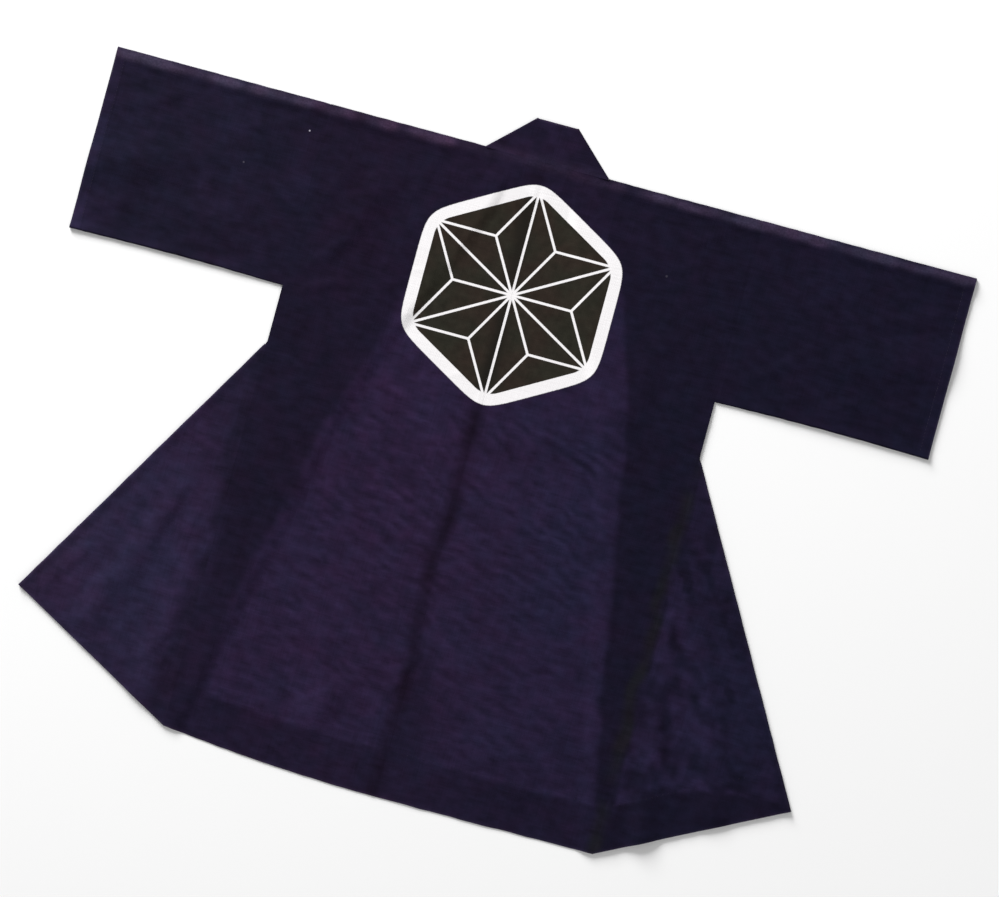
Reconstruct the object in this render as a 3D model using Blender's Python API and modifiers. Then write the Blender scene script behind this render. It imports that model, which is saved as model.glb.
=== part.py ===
"""Happi coat laid flat on its front, so that its back lies uppermost.

Metres, +Z up. X runs from cuff to cuff and Y from the hem to the collar. The floor is Z = 0, and
the origin is the middle of the coat's outline on the floor. Distances across are given outwards
from the centre seam, the same for both sides, and each side's sign places them.
"""

import math
from collections import namedtuple

import bmesh
import bpy

# The cut of the coat.
SPAN = 1.200
DEPTH = 0.941
COLLAR_RISE = 0.054
COLLAR_TOP_HALF = 0.0285
NECK_HALF = 0.086
SIDE_X = 0.302
SLEEVE_DEPTH = 0.2535
SIDE_SEAM = 0.077
NECK_DROP = 0.0018
GORE_START = 0.014
FRONT_HEM_SHARE = 0.65

# Cloth and the room between its layers.
CLOTH = 0.0015
COLLAR_CLOTH = 0.0020
SEAM_GAP = 0.0003
LAYER_GAP = 0.0004
COLLAR_FOLD_GAP = 0.0006
HEM_INSET = 0.003

# How the back comes down from the collar's free edge to the floor.
STEP_IN = 0.002
STEP_RUN = 0.020
NECK_RUN = 0.100
SEAM_RUN = 0.040

# How the cloth swells along its folded edges.
ROLL = 0.0012
ROLL_RUN = 0.030
ROLL_START = 0.120

# Number of cells in each surface.
BACK_ROWS = 30
BARE_CELLS = 8
FRONT_CELLS = 4
FRONT_LOWER_ROWS = 8
FRONT_UPPER_ROWS = 6
FOLD_STEPS = 6
GORE_ROWS = 14
GORE_UPPER_CELLS = 8
GORE_LOWER_CELLS = 3
SLEEVE_ROWS = 10
SLEEVE_UPPER_CELLS = 8
SLEEVE_LOWER_CELLS = 4
COLLAR_CELLS = 4
NECK_STATIONS = 8

# Levels that follow from the cut.
TOP_Y = DEPTH / 2
HEM_Y = -DEPTH / 2
SHOULDER_Y = TOP_Y - COLLAR_RISE
UNDERARM_Y = SHOULDER_Y - SLEEVE_DEPTH
GORE_POINT_Y = UNDERARM_Y - SIDE_SEAM
NECK_Y = SHOULDER_Y - NECK_DROP
LOW = CLOTH / 2
OVER_FRONT = CLOTH + LAYER_GAP + CLOTH / 2
OVER_COLLAR = COLLAR_CLOTH + LAYER_GAP + CLOTH / 2
COLLAR_LOW = COLLAR_CLOTH / 2
COLLAR_HIGH = COLLAR_LOW + COLLAR_CLOTH + COLLAR_FOLD_GAP

Side = namedtuple("Side", "name sign hem_at_seam corner_x corner_y")
LEFT = Side("left", -1, -0.452, 0.541, -0.319)
RIGHT = Side("right", 1, -0.468, 0.546, -0.343)

# The front's opening edge, from the neck down to the hem: the collar's free edge, and the seam
# between collar and front.
Edge = namedtuple("Edge", "down free seam")
FRONT_EDGE = (
    Edge(0.00, 0.0285, 0.0860),
    Edge(0.12, 0.0600, 0.1300),
    Edge(0.24, 0.1020, 0.1780),
    Edge(0.36, 0.1520, 0.2260),
    Edge(0.48, 0.1910, 0.2620),
    Edge(0.60, 0.2150, 0.2830),
    Edge(0.80, 0.2590, 0.3235),
    Edge(1.00, 0.2970, 0.3590),
)

# Soft folds in the upper layer. Each starts at nothing and rises towards its second end.
Fold = namedtuple("Fold", "side x0 y0 x1 y1 reach rise")
FOLDS = (
    Fold("right", 0.306, 0.020, 0.445, -0.372, 0.036, 0.0040),
    Fold("right", 0.309, -0.080, 0.362, -0.436, 0.030, 0.0050),
    Fold("right", 0.020, -0.230, 0.180, -0.410, 0.036, 0.0030),
    Fold("right", 0.345, 0.215, 0.600, 0.300, 0.050, 0.0026),
    Fold("right", 0.250, 0.390, 0.190, 0.120, 0.045, 0.0016),
    Fold("left", 0.318, -0.020, 0.436, -0.335, 0.034, 0.0052),
    Fold("left", 0.306, 0.000, 0.342, -0.410, 0.032, 0.0034),
    Fold("left", 0.022, -0.250, 0.120, -0.395, 0.036, 0.0028),
    Fold("left", 0.350, 0.340, 0.600, 0.250, 0.055, 0.0030),
    Fold("left", 0.285, 0.180, 0.205, 0.330, 0.040, 0.0018),
)


def mix(first, second, share):
    return first + (second - first) * share


def mix_points(first, second, share):
    return tuple(mix(a, b, share) for a, b in zip(first, second))


def ease(share):
    """Goes softly from 0 to 1 while share does."""
    held = min(1.0, max(0.0, share))
    return held * held * (3 - 2 * held)


def edge_column(column, down):
    """A column of FRONT_EDGE at a share of the way down, on a smooth curve through its rows."""
    last = len(FRONT_EDGE) - 1
    held = min(1.0, max(0.0, down))
    row = max(i for i in range(last) if FRONT_EDGE[i].down <= held)

    def slope(i):
        before = FRONT_EDGE[max(i - 1, 0)]
        after = FRONT_EDGE[min(i + 1, last)]
        return (getattr(after, column) - getattr(before, column)) / (after.down - before.down)

    start, end = FRONT_EDGE[row], FRONT_EDGE[row + 1]
    run = end.down - start.down
    t = (held - start.down) / run
    curve = (2 * t**3 - 3 * t**2 + 1) * getattr(start, column)
    curve += (3 * t**2 - 2 * t**3) * getattr(end, column)
    curve += (t**3 - 2 * t**2 + t) * run * slope(row)
    curve += (t**3 - t**2) * run * slope(row + 1)
    return curve


def free_edge(y):
    """Distance from the centre of the collar's free edge at height y."""
    return edge_column("free", (TOP_Y - y) / DEPTH)


def seam_edge(y):
    """Distance from the centre of the seam between collar and front at height y."""
    return edge_column("seam", (SHOULDER_Y - y) / (SHOULDER_Y - HEM_Y))


def hem_y(side, x):
    """Height of the back's and the gore's hem at a distance x from the centre."""
    if x <= SIDE_X:
        return mix(HEM_Y, side.hem_at_seam, (x / SIDE_X) ** 2)
    return mix(side.hem_at_seam, side.corner_y, (x - SIDE_X) / (side.corner_x - SIDE_X))


def fold_height(side, x, y):
    """Rise of the soft folds at a point of the upper layer."""
    height = 0.0
    for fold in FOLDS:
        if fold.side != side.name:
            continue
        run_x, run_y = fold.x1 - fold.x0, fold.y1 - fold.y0
        along = ((x - fold.x0) * run_x + (y - fold.y0) * run_y) / (run_x**2 + run_y**2)
        along = min(1.0, max(0.0, along))
        away = math.hypot(x - fold.x0 - along * run_x, y - fold.y0 - along * run_y)
        reach = fold.reach * mix(0.5, 1.0, along)
        if away < reach:
            height += fold.rise * ease(along) * (1 + math.cos(math.pi * away / reach)) / 2
    return height


def edge_roll(side, x, y):
    """Swelling of the upper layer near a folded edge: shoulder, sleeve and gore."""
    shoulder = ease((x - NECK_HALF) / ROLL_RUN) * (1 - ease((SHOULDER_Y - y) / ROLL_RUN))
    if x <= SIDE_X:
        return ROLL * shoulder
    if y >= UNDERARM_Y:
        lower = ease((x - SIDE_X) / ROLL_START) * (1 - ease((y - UNDERARM_Y) / ROLL_RUN))
        return ROLL * max(shoulder, lower)
    run_x, run_y = side.corner_x - SIDE_X, side.corner_y - GORE_POINT_Y
    inside = (run_y * (x - SIDE_X) - run_x * (y - GORE_POINT_Y)) / math.hypot(run_x, run_y)
    return ROLL * (1 - ease(inside / ROLL_RUN)) * ease((GORE_POINT_Y - y) / ROLL_START)


def upper_z(side, x, y):
    """Height of the middle of the cloth in the upper layer: bare floor, fronts or collar below."""
    inside = free_edge(y) - STEP_IN - x
    lifted = 1 - ease(inside / STEP_RUN)
    at_neck = ease((y - NECK_Y + NECK_RUN) / NECK_RUN)
    over = mix(OVER_COLLAR, OVER_FRONT, ease((x - seam_edge(y)) / SEAM_RUN))
    lying = mix(LOW, over, max(lifted, at_neck))
    return lying + fold_height(side, x, y) + edge_roll(side, x, y)


def hairpin(outermost, outward, low, high, cloth):
    """Points round a fold, from its upper layer to its lower one, inside an outermost point."""
    radius = (high - low) / 2
    reach = radius + cloth / 2
    centre = (outermost[0] - outward[0] * reach, outermost[1] - outward[1] * reach)
    points = []
    for step in range(FOLD_STEPS + 1):
        turn = math.pi * step / FOLD_STEPS
        out = radius * math.sin(turn)
        z = (high + low) / 2 + radius * math.cos(turn)
        points.append((centre[0] + outward[0] * out, centre[1] + outward[1] * out, z))
    return points


def outer_corner(side):
    return (side.corner_x, side.corner_y)


def front_corner(side):
    """Where the front's side edge meets its hem."""
    x = mix(SIDE_X, side.corner_x, FRONT_HEM_SHARE)
    return (x, hem_y(side, x) + HEM_INSET)


def seam_point(side, down):
    """Point on the seam between collar and front."""
    hem = hem_y(side, FRONT_EDGE[-1].seam) + HEM_INSET
    return (edge_column("seam", down), mix(NECK_Y, hem, down))


def free_point(side, down):
    """Point on the collar's free edge."""
    hem = hem_y(side, FRONT_EDGE[-1].free) + HEM_INSET
    return (edge_column("free", down), mix(TOP_Y, hem, down))


def front_downs(side):
    """Shares of the way down a front, with a row where the gore's point meets its side."""
    turn = (NECK_Y - GORE_POINT_Y) / (NECK_Y - front_corner(side)[1])
    upper = [turn * i / FRONT_UPPER_ROWS for i in range(FRONT_UPPER_ROWS)]
    lower = [mix(turn, 1, i / FRONT_LOWER_ROWS) for i in range(FRONT_LOWER_ROWS + 1)]
    return upper + lower


def front_side_point(side, down):
    """Point on the side edge of a front: straight to the gore's point, then slanting out."""
    corner = front_corner(side)
    y = mix(NECK_Y, corner[1], down)
    share = max(0.0, (GORE_POINT_Y - y) / (GORE_POINT_Y - corner[1]))
    return (mix(SIDE_X, corner[0], share) - SEAM_GAP / 2, y)


def back_places(y):
    """Places across one half of the back, from the centre seam to the side seam."""
    first, last = SEAM_GAP / 2, SIDE_X - SEAM_GAP / 2
    top = free_edge(y) - STEP_IN
    foot = top - STEP_RUN
    places = [mix(first, foot, i / BARE_CELLS) for i in range(BARE_CELLS)]
    places += [foot, mix(foot, top, 1 / 3), mix(foot, top, 2 / 3), top]
    neck_top = free_edge(NECK_Y) - STEP_IN
    neck_share = (NECK_HALF + SEAM_GAP / 2 - neck_top) / (last - neck_top)
    start = mix(top, last, neck_share)
    return places + [mix(start, last, i / FRONT_CELLS) for i in range(FRONT_CELLS + 1)]


NECK_COLUMN = BARE_CELLS + 4


def make_sheet(name, points, cloth, material, ring=0):
    """An object from a dictionary of grid points, thickened to both sides. Ring is the number of
    columns of a grid that closes on itself."""
    mesh = bpy.data.meshes.new(name)
    surface = bmesh.new()
    corners = {place: surface.verts.new(point) for place, point in points.items()}
    for column, row in points:
        beside = (column + 1) % ring if ring else column + 1
        cell = ((column, row), (beside, row), (beside, row + 1), (column, row + 1))
        if all(place in corners for place in cell):
            surface.faces.new([corners[place] for place in cell])
    surface.to_mesh(mesh)
    surface.free()
    mesh.materials.append(material)
    sheet = bpy.data.objects.new(name, mesh)
    coat.objects.link(sheet)
    wall = sheet.modifiers.new("cloth", "SOLIDIFY")
    wall.thickness = cloth
    wall.offset = 0
    wall.use_even_offset = True
    return sheet


def body(side, material):
    """One length of cloth from the back's hem over the shoulder to the front's hem."""
    points = {}

    def place(column, row, x, y, z):
        points[column, row] = (side.sign * x, y, z)

    columns = range(len(back_places(0)))
    shoulder = {}
    for column in columns[NECK_COLUMN:]:
        x = back_places(NECK_Y)[column]
        high = upper_z(side, x, NECK_Y)
        shoulder[column] = hairpin((x, SHOULDER_Y), (0, 1), LOW, high, CLOTH)
    for row in range(BACK_ROWS + 1):
        share = row / BACK_ROWS
        for column in columns:
            top = shoulder[column][0][1] if column in shoulder else NECK_Y
            y = mix(HEM_Y, top, share)
            for _ in range(2):
                x = back_places(y)[column]
                y = mix(hem_y(side, x), top, share)
            z = upper_z(side, x, y)
            if row == BACK_ROWS and column in shoulder:
                z = shoulder[column][0][2]
            place(column, row, x, y, z)
    for column, fold in shoulder.items():
        for step, point in enumerate(fold[1:], BACK_ROWS + 1):
            place(column, step, *point)
        across = (column - NECK_COLUMN) / FRONT_CELLS
        for step, down in enumerate(front_downs(side)[1:], BACK_ROWS + FOLD_STEPS + 1):
            inner = seam_point(side, down)
            inner = (inner[0] + SEAM_GAP / 2, inner[1])
            x, y = mix_points(inner, front_side_point(side, down), across)
            place(column, step, x, y, LOW)
    return make_sheet(f"body_{side.name}", points, CLOTH, material)


def gore(side, material):
    """A triangle let in at the side, folded along its outer edge with part of it beneath."""
    corner = outer_corner(side)
    run = (corner[0] - SIDE_X, corner[1] - GORE_POINT_Y)
    length = math.hypot(*run)
    outward = (-run[1] / length, run[0] / length)
    beneath = front_corner(side)
    lean = (beneath[0] - SIDE_X) / (GORE_POINT_Y - beneath[1])
    first = GORE_START / (GORE_POINT_Y - corner[1])
    points = {}
    for row in range(GORE_ROWS + 1):
        share = row / GORE_ROWS
        seam_y = mix(GORE_POINT_Y - GORE_START, side.hem_at_seam, share)
        inner = (SIDE_X + SEAM_GAP / 2, seam_y)
        outer = mix_points((SIDE_X, GORE_POINT_Y), corner, mix(first, 1, share))
        high = upper_z(side, outer[0] - CLOTH, outer[1])
        fold = hairpin(outer, outward, LOW, high, CLOTH)
        low_y = mix(GORE_POINT_Y - GORE_START, beneath[1], share)
        under = (SIDE_X + lean * (GORE_POINT_Y - low_y) + SEAM_GAP / 2, low_y)
        section = []
        for cell in range(GORE_UPPER_CELLS):
            x, y = mix_points(inner, fold[0][:2], cell / GORE_UPPER_CELLS)
            section.append((x, y, upper_z(side, x, y)))
        section += fold
        for cell in range(1, GORE_LOWER_CELLS + 1):
            x, y = mix_points(fold[-1][:2], under, cell / GORE_LOWER_CELLS)
            section.append((x, y, LOW))
        for column, (x, y, z) in enumerate(section):
            points[column, row] = (side.sign * x, y, z)
    return make_sheet(f"gore_{side.name}", points, CLOTH, material)


def sleeve(side, material):
    """A flat tube, folded along the shoulder and along its lower edge, open at both ends."""
    points = {}
    first = SIDE_X + SEAM_GAP / 2
    for row in range(SLEEVE_ROWS + 1):
        x = mix(first, SPAN / 2, row / SLEEVE_ROWS)
        top = hairpin((x, SHOULDER_Y), (0, 1), LOW, upper_z(side, x, SHOULDER_Y), CLOTH)
        bottom = hairpin((x, UNDERARM_Y), (0, -1), LOW, upper_z(side, x, UNDERARM_Y), CLOTH)
        section = []
        for cell in range(1, SLEEVE_UPPER_CELLS):
            y = mix(bottom[0][1], top[0][1], cell / SLEEVE_UPPER_CELLS)
            section.append((x, y, upper_z(side, x, y)))
        section += top
        for cell in range(1, SLEEVE_LOWER_CELLS):
            section.append((x, mix(top[-1][1], bottom[-1][1], cell / SLEEVE_LOWER_CELLS), LOW))
        section += reversed(bottom)
        for column, (across, y, z) in enumerate(section):
            points[column, row] = (side.sign * across, y, z)
    return make_sheet(f"sleeve_{side.name}", points, CLOTH, material, ring=len(section))


def collar_half(side):
    """Sections of the collar from the hem up the front and round the fold at the neck. Each is
    a list of points from the seam to the free edge."""
    run = (COLLAR_TOP_HALF - NECK_HALF, TOP_Y - SHOULDER_Y)
    length = math.hypot(*run)
    outward = (run[1] / length, -run[0] / length)
    inset = (COLLAR_HIGH - COLLAR_LOW) / 2 + COLLAR_CLOTH / 2
    slide = (NECK_Y + SEAM_GAP - SHOULDER_Y + outward[1] * inset) / run[1]
    seam_end = mix_points((NECK_HALF, SHOULDER_Y), (COLLAR_TOP_HALF, TOP_Y), slide)
    free_end = (COLLAR_TOP_HALF, TOP_Y)
    folds = []
    for cell in range(COLLAR_CELLS + 1):
        outermost = mix_points(seam_end, free_end, cell / COLLAR_CELLS)
        folds.append(hairpin(outermost, outward, COLLAR_LOW, COLLAR_HIGH, COLLAR_CLOTH))
    sections = []
    for down in reversed(front_downs(side)[1:]):
        seam = seam_point(side, down)
        seam = (seam[0] - SEAM_GAP / 2, seam[1])
        free = free_point(side, down)
        line = [mix_points(seam, free, cell / COLLAR_CELLS) for cell in range(COLLAR_CELLS + 1)]
        sections.append([(x, y, COLLAR_LOW) for x, y in line])
    for step in reversed(range(FOLD_STEPS + 1)):
        sections.append([fold[step] for fold in folds])
    return [[(side.sign * x, y, z) for x, y, z in section] for section in sections]


def collar(material):
    """One folded band: up the left front, across the back of the neck, down the right front."""
    left = collar_half(LEFT)
    right = collar_half(RIGHT)
    sections = list(left)
    for station in range(1, NECK_STATIONS):
        share = station / NECK_STATIONS
        sections.append([mix_points(a, b, share) for a, b in zip(left[-1], right[-1])])
    sections += reversed(right)
    points = {}
    for row, section in enumerate(sections):
        for column, point in enumerate(section):
            points[column, row] = point
    return make_sheet("collar", points, COLLAR_CLOTH, material)


def cloth_material(name, colour, roughness):
    material = bpy.data.materials.new(name)
    material.use_nodes = True
    shader = material.node_tree.nodes["Principled BSDF"]
    shader.inputs["Base Color"].default_value = (*colour, 1)
    shader.inputs["Roughness"].default_value = roughness
    shader.inputs["Metallic"].default_value = 0
    return material


for item in list(bpy.data.objects):
    bpy.data.objects.remove(item)
coat = bpy.data.collections.new("happi_coat")
bpy.context.scene.collection.children.link(coat)

for half in (LEFT, RIGHT):
    body(half, cloth_material(f"body_{half.name}_cotton", (0.021, 0.014, 0.037), 0.85))
    sleeve(half, cloth_material(f"sleeve_{half.name}_cotton", (0.014, 0.010, 0.025), 0.85))
    gore(half, cloth_material(f"gore_{half.name}_cotton", (0.018, 0.014, 0.034), 0.85))
collar(cloth_material("collar_cotton", (0.016, 0.011, 0.026), 0.88))
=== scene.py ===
# %% [markdown]
# # A happi coat, laid flat on its front
#
# A happi is a straight-cut cotton coat from Japan. Two long strips of cloth run from the back's
# hem over the shoulders to the fronts' hems, and are joined down the middle of the back. Two
# tubes make the sleeves, a triangle is let in at each side, and one band makes the collar. This
# coat lies on its front, so that its back and the printed emblem show.
#
# The solids of the coat are loaded as a fixed frame. Each gets a thin shell of cloth with the
# same form and finer folds, and the shells take their sizes from that frame.

# %% Load the frame
import math
from collections import namedtuple

import bpy
import numpy as np
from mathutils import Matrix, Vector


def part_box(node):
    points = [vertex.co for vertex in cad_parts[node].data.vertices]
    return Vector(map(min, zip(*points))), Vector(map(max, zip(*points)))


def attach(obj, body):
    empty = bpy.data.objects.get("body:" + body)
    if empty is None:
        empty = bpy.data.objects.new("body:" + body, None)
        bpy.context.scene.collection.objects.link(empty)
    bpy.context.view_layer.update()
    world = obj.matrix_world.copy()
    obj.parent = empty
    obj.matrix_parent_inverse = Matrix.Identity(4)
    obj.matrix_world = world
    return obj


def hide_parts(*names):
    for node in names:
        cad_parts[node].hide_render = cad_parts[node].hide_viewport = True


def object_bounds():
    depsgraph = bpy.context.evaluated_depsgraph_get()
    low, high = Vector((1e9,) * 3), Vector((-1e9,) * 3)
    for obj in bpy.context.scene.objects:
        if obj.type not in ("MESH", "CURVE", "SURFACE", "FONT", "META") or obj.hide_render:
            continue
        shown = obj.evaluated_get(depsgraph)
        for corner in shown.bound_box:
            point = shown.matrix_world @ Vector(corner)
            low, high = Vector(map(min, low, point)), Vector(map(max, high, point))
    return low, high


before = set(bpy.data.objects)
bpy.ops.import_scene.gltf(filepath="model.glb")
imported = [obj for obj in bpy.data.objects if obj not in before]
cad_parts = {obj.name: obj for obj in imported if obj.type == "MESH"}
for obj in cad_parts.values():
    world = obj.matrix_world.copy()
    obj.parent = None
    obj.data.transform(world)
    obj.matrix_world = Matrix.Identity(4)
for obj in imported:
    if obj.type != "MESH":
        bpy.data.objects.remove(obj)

cad_low, cad_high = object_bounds()
print("solids:", sorted(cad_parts))
print("from", [round(v, 4) for v in cad_low], "to", [round(v, 4) for v in cad_high])

# %% [markdown]
# ## Camera, floor and light
#
# The coat is seen from straight above, turned by about fifteen degrees, so the camera hangs over
# it and turns the other way. A long lens from some height keeps the outline free of perspective.
# The light could be one small lamp, but that draws hard shadows on cloth this dark. A broad pale
# sky fills them, and one large soft box beyond the left shoulder rakes across the folds.

# %% Camera
def in_scene(name, data):
    """A new object in the scene."""
    made = bpy.data.objects.new(name, data)
    bpy.context.scene.collection.objects.link(made)
    return made


TURN = math.radians(15.13)
VIEW_WIDTH = 1.34865
VIEW_HEIGHT = 3.4
VIEW_CENTRE = (0.038, 0.027)
SENSOR_MM = 36

camera_data = bpy.data.cameras.new("camera")
camera_data.sensor_width = SENSOR_MM
camera_data.lens = SENSOR_MM * VIEW_HEIGHT / VIEW_WIDTH
camera = in_scene("camera", camera_data)
camera.location = (*VIEW_CENTRE, VIEW_HEIGHT)
camera.rotation_euler = (0, 0, TURN)
bpy.context.scene.camera = camera
print("lens", round(camera_data.lens, 1), "mm")

# %% Sky and soft boxes
SKY = 0.36
SoftBox = namedtuple("SoftBox", "name x y z size watts")
SOFT_BOXES = (
    SoftBox("key", -4.05, 5.25, 2.60, 3.2, 960),
    SoftBox("fill", 3.20, -2.60, 3.20, 2.8, 45),
)

world = bpy.data.worlds.new("studio")
world.use_nodes = True
world.node_tree.nodes["Background"].inputs["Color"].default_value = (1, 1, 1, 1)
world.node_tree.nodes["Background"].inputs["Strength"].default_value = SKY
bpy.context.scene.world = world
bpy.context.scene.view_settings.view_transform = "Standard"
for box in SOFT_BOXES:
    lamp = bpy.data.lights.new(box.name, "AREA")
    lamp.size = box.size
    lamp.energy = box.watts
    holder = in_scene(box.name, lamp)
    holder.location = (box.x, box.y, box.z)
    holder.rotation_euler = (-holder.location).to_track_quat("-Z", "Y").to_euler()
    holder.visible_camera = False
    print(box.name, "stands", round(holder.location.length, 2), "m from the coat")

# %% [markdown]
# ## Shader arithmetic
#
# A finish is a web of nodes. Written out one node at a time it is long and hard to read, so a
# small class wraps a socket and lets numbers be added and multiplied like any others. Each
# operator adds one Math node. Colours and vectors keep to Mix and Vector Math nodes, because a
# Math node would turn them grey.

# %% A wire that carries numbers
class Wire:
    """The output of a node in a finish."""

    def __init__(self, finish, socket):
        self.finish = finish
        self.socket = socket

    def math(self, operation, *values):
        return self.finish.node("ShaderNodeMath", dict(enumerate(values)), operation=operation)

    def __add__(self, other):
        return self.math("ADD", self, other)

    def __sub__(self, other):
        return self.math("SUBTRACT", self, other)

    def __rsub__(self, other):
        return self.math("SUBTRACT", other, self)

    def __mul__(self, other):
        return self.math("MULTIPLY", self, other)

    def __truediv__(self, other):
        return self.math("DIVIDE", self, other)

    def __pow__(self, other):
        return self.math("POWER", self, other)

    __radd__ = __add__
    __rmul__ = __mul__

    def lowest(self, other):
        return self.math("MINIMUM", self, other)

    def highest(self, other):
        return self.math("MAXIMUM", self, other)

    def size(self):
        return self.math("ABSOLUTE", self)

    def sine(self):
        return self.math("SINE", self)

    def rest(self):
        """What is left above the whole number below."""
        return self.math("FRACT", self)

    def step(self, low, high):
        """Goes softly from 0 to 1 while the value goes from low to high."""
        sockets = {"Value": self, "From Min": low, "From Max": high}
        return self.finish.node("ShaderNodeMapRange", sockets, interpolation_type="SMOOTHSTEP")


# %% A finish, which is a material and its nodes
class Finish:
    """A material whose nodes are added by name."""

    def __init__(self, name):
        self.material = bpy.data.materials.new(name)
        self.material.use_nodes = True
        self.tree = self.material.node_tree
        self.shader = self.tree.nodes["Principled BSDF"]

    def put(self, socket, value):
        if isinstance(value, Wire):
            self.tree.links.new(value.socket, socket)
        else:
            socket.default_value = value

    def node(self, kind, sockets=None, out=0, stops=(), **settings):
        """Adds a node. Its settings and the stops of a ramp are set first, then its sockets."""
        made = self.tree.nodes.new(kind)
        for name, value in settings.items():
            setattr(made, name, value)
        for number, (at, colour) in enumerate(stops):
            points = made.color_ramp.elements
            point = points[number] if number < 2 else points.new(at)
            point.position = at
            point.color = (*colour, 1)
        for name, value in (sockets or {}).items():
            self.put(made.inputs[name], value)
        return Wire(self, made.outputs[out])

    def colours(self, share, first, second, blend="MIX"):
        """Mixes two colours, given as wires or as three numbers."""
        first, second = (c if isinstance(c, Wire) else (*c, 1) for c in (first, second))
        sockets = {0: share, 6: first, 7: second}
        return self.node("ShaderNodeMix", sockets, 2, data_type="RGBA", blend_type=blend)

    def speckle(self, place, scale, stretch=(1, 1, 1), detail=2.0):
        """Noise from 0 to 1 at so many cells a metre, stretched along the axes."""
        moved = self.node("ShaderNodeVectorMath", {0: place, 1: stretch}, operation="MULTIPLY")
        return self.node("ShaderNodeTexNoise", {"Vector": moved, "Scale": scale, "Detail": detail})

    def axis(self, place, name):
        """One coordinate of a place."""
        return self.node("ShaderNodeSeparateXYZ", {0: place}, name)

    def scaled(self, colour, share):
        """A colour made lighter or darker."""
        return self.node("ShaderNodeVectorMath", {0: colour, "Scale": share}, operation="SCALE")

    def mark(self, name):
        """A number kept with each point of the mesh."""
        return self.node("ShaderNodeAttribute", out="Fac", attribute_name=name)

    def surface(self, **sockets):
        for name, value in sockets.items():
            self.put(self.shader.inputs[name.replace("_", " ")], value)
        return self.material


# %% Floor
FLOOR_SIZE = 8.0
FLOOR_COLOUR = (0.90, 0.90, 0.90, 1)

bpy.ops.mesh.primitive_plane_add(size=FLOOR_SIZE)
floor = bpy.context.object
floor.name = "floor"
paper = Finish("pale_paper")
grain = paper.speckle(paper.node("ShaderNodeTexCoord", out="Object"), 300)
paper.surface(Base_Color=FLOOR_COLOUR, Roughness=grain * 0.1 + 0.85)
floor.data.materials.append(paper.material)
print("floor", FLOOR_SIZE, "m wide")

# %% [markdown]
# ## The cut
#
# The shells repeat the cut of the solids. What can be read from the frame is read there: the
# ends of the sleeves, the shoulder, the underarm and the side seam. The rest are the coat's own
# sizes in metres. Distances across are counted outwards from the centre seam on both sides.

# %% Sizes of the cut
sleeve_low, sleeve_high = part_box("sleeve_right")
_, collar_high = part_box("collar")
CUFF_X = sleeve_high.x
SHOULDER_Y = sleeve_high.y
UNDERARM_Y = sleeve_low.y
TOP_Y = collar_high.y
HEM_Y = cad_low.y
SOLID_GAP = 0.0003
SEAM_GAP = -0.0001
SIDE_X = sleeve_low.x - SOLID_GAP / 2
GORE_POINT_Y = UNDERARM_Y - 0.077
NECK_Y = SHOULDER_Y - 0.0018
NECK_HALF = 0.086
COLLAR_TOP_HALF = 0.0285
GORE_START = 0.005
FRONT_HEM_SHARE = 0.65
HEM_INSET = 0.003

Side = namedtuple("Side", "name sign hem_at_seam corner_x corner_y")
LEFT = Side("left", -1, -0.452, 0.541, -0.319)
RIGHT = Side("right", 1, -0.468, 0.546, -0.343)
SIDES = (LEFT, RIGHT)

Edge = namedtuple("Edge", "down free seam")
FRONT_EDGE = (
    Edge(0.00, 0.0285, 0.0860),
    Edge(0.12, 0.0600, 0.1300),
    Edge(0.24, 0.1020, 0.1780),
    Edge(0.36, 0.1520, 0.2260),
    Edge(0.48, 0.1910, 0.2620),
    Edge(0.60, 0.2150, 0.2830),
    Edge(0.80, 0.2590, 0.3235),
    Edge(1.00, 0.2970, 0.3590),
)
print("sleeve", round(CUFF_X - SIDE_X, 3), "long and", round(SHOULDER_Y - UNDERARM_Y, 4), "deep")

# %% Small helpers
def mix(first, second, share):
    return first + (second - first) * share


def ease(share):
    """Goes softly from 0 to 1 while share does."""
    held = np.clip(share, 0, 1)
    return held * held * (3 - 2 * held)


def hump(share):
    """1 at 0, softly down to 0 at -1 and at 1."""
    return ease(1 - np.abs(share))


def past(value, start, end):
    """Goes softly from 0 at the start to 1 at the end, up or down."""
    return ease((value - start) / (end - start))


def near(value, at, reach):
    """1 at a place, and softly down to 0 at a reach from it."""
    return hump((value - at) / reach)


def from_table(rows, column, at):
    """A column of a table whose first column is the station, read on a smooth curve."""
    stations = np.array([row[0] for row in rows])
    values = np.array([getattr(row, column) for row in rows])
    order = np.arange(len(rows))
    before, after = np.maximum(order - 1, 0), np.minimum(order + 1, len(rows) - 1)
    slopes = (values[after] - values[before]) / (stations[after] - stations[before])
    held = np.clip(at, stations[0], stations[-1])
    row = np.clip(np.searchsorted(stations, held, side="right") - 1, 0, len(rows) - 2)
    run = stations[row + 1] - stations[row]
    t = (held - stations[row]) / run
    curve = (2 * t**3 - 3 * t**2 + 1) * values[row] + (3 * t**2 - 2 * t**3) * values[row + 1]
    return curve + (t**3 - 2 * t**2 + t) * run * slopes[row] + (t**3 - t**2) * run * slopes[row + 1]


print("the seam of the front starts", from_table(FRONT_EDGE, "seam", 0), "m from the centre")

# %% Soft random hills
CLOUD_CELLS = 64


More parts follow.
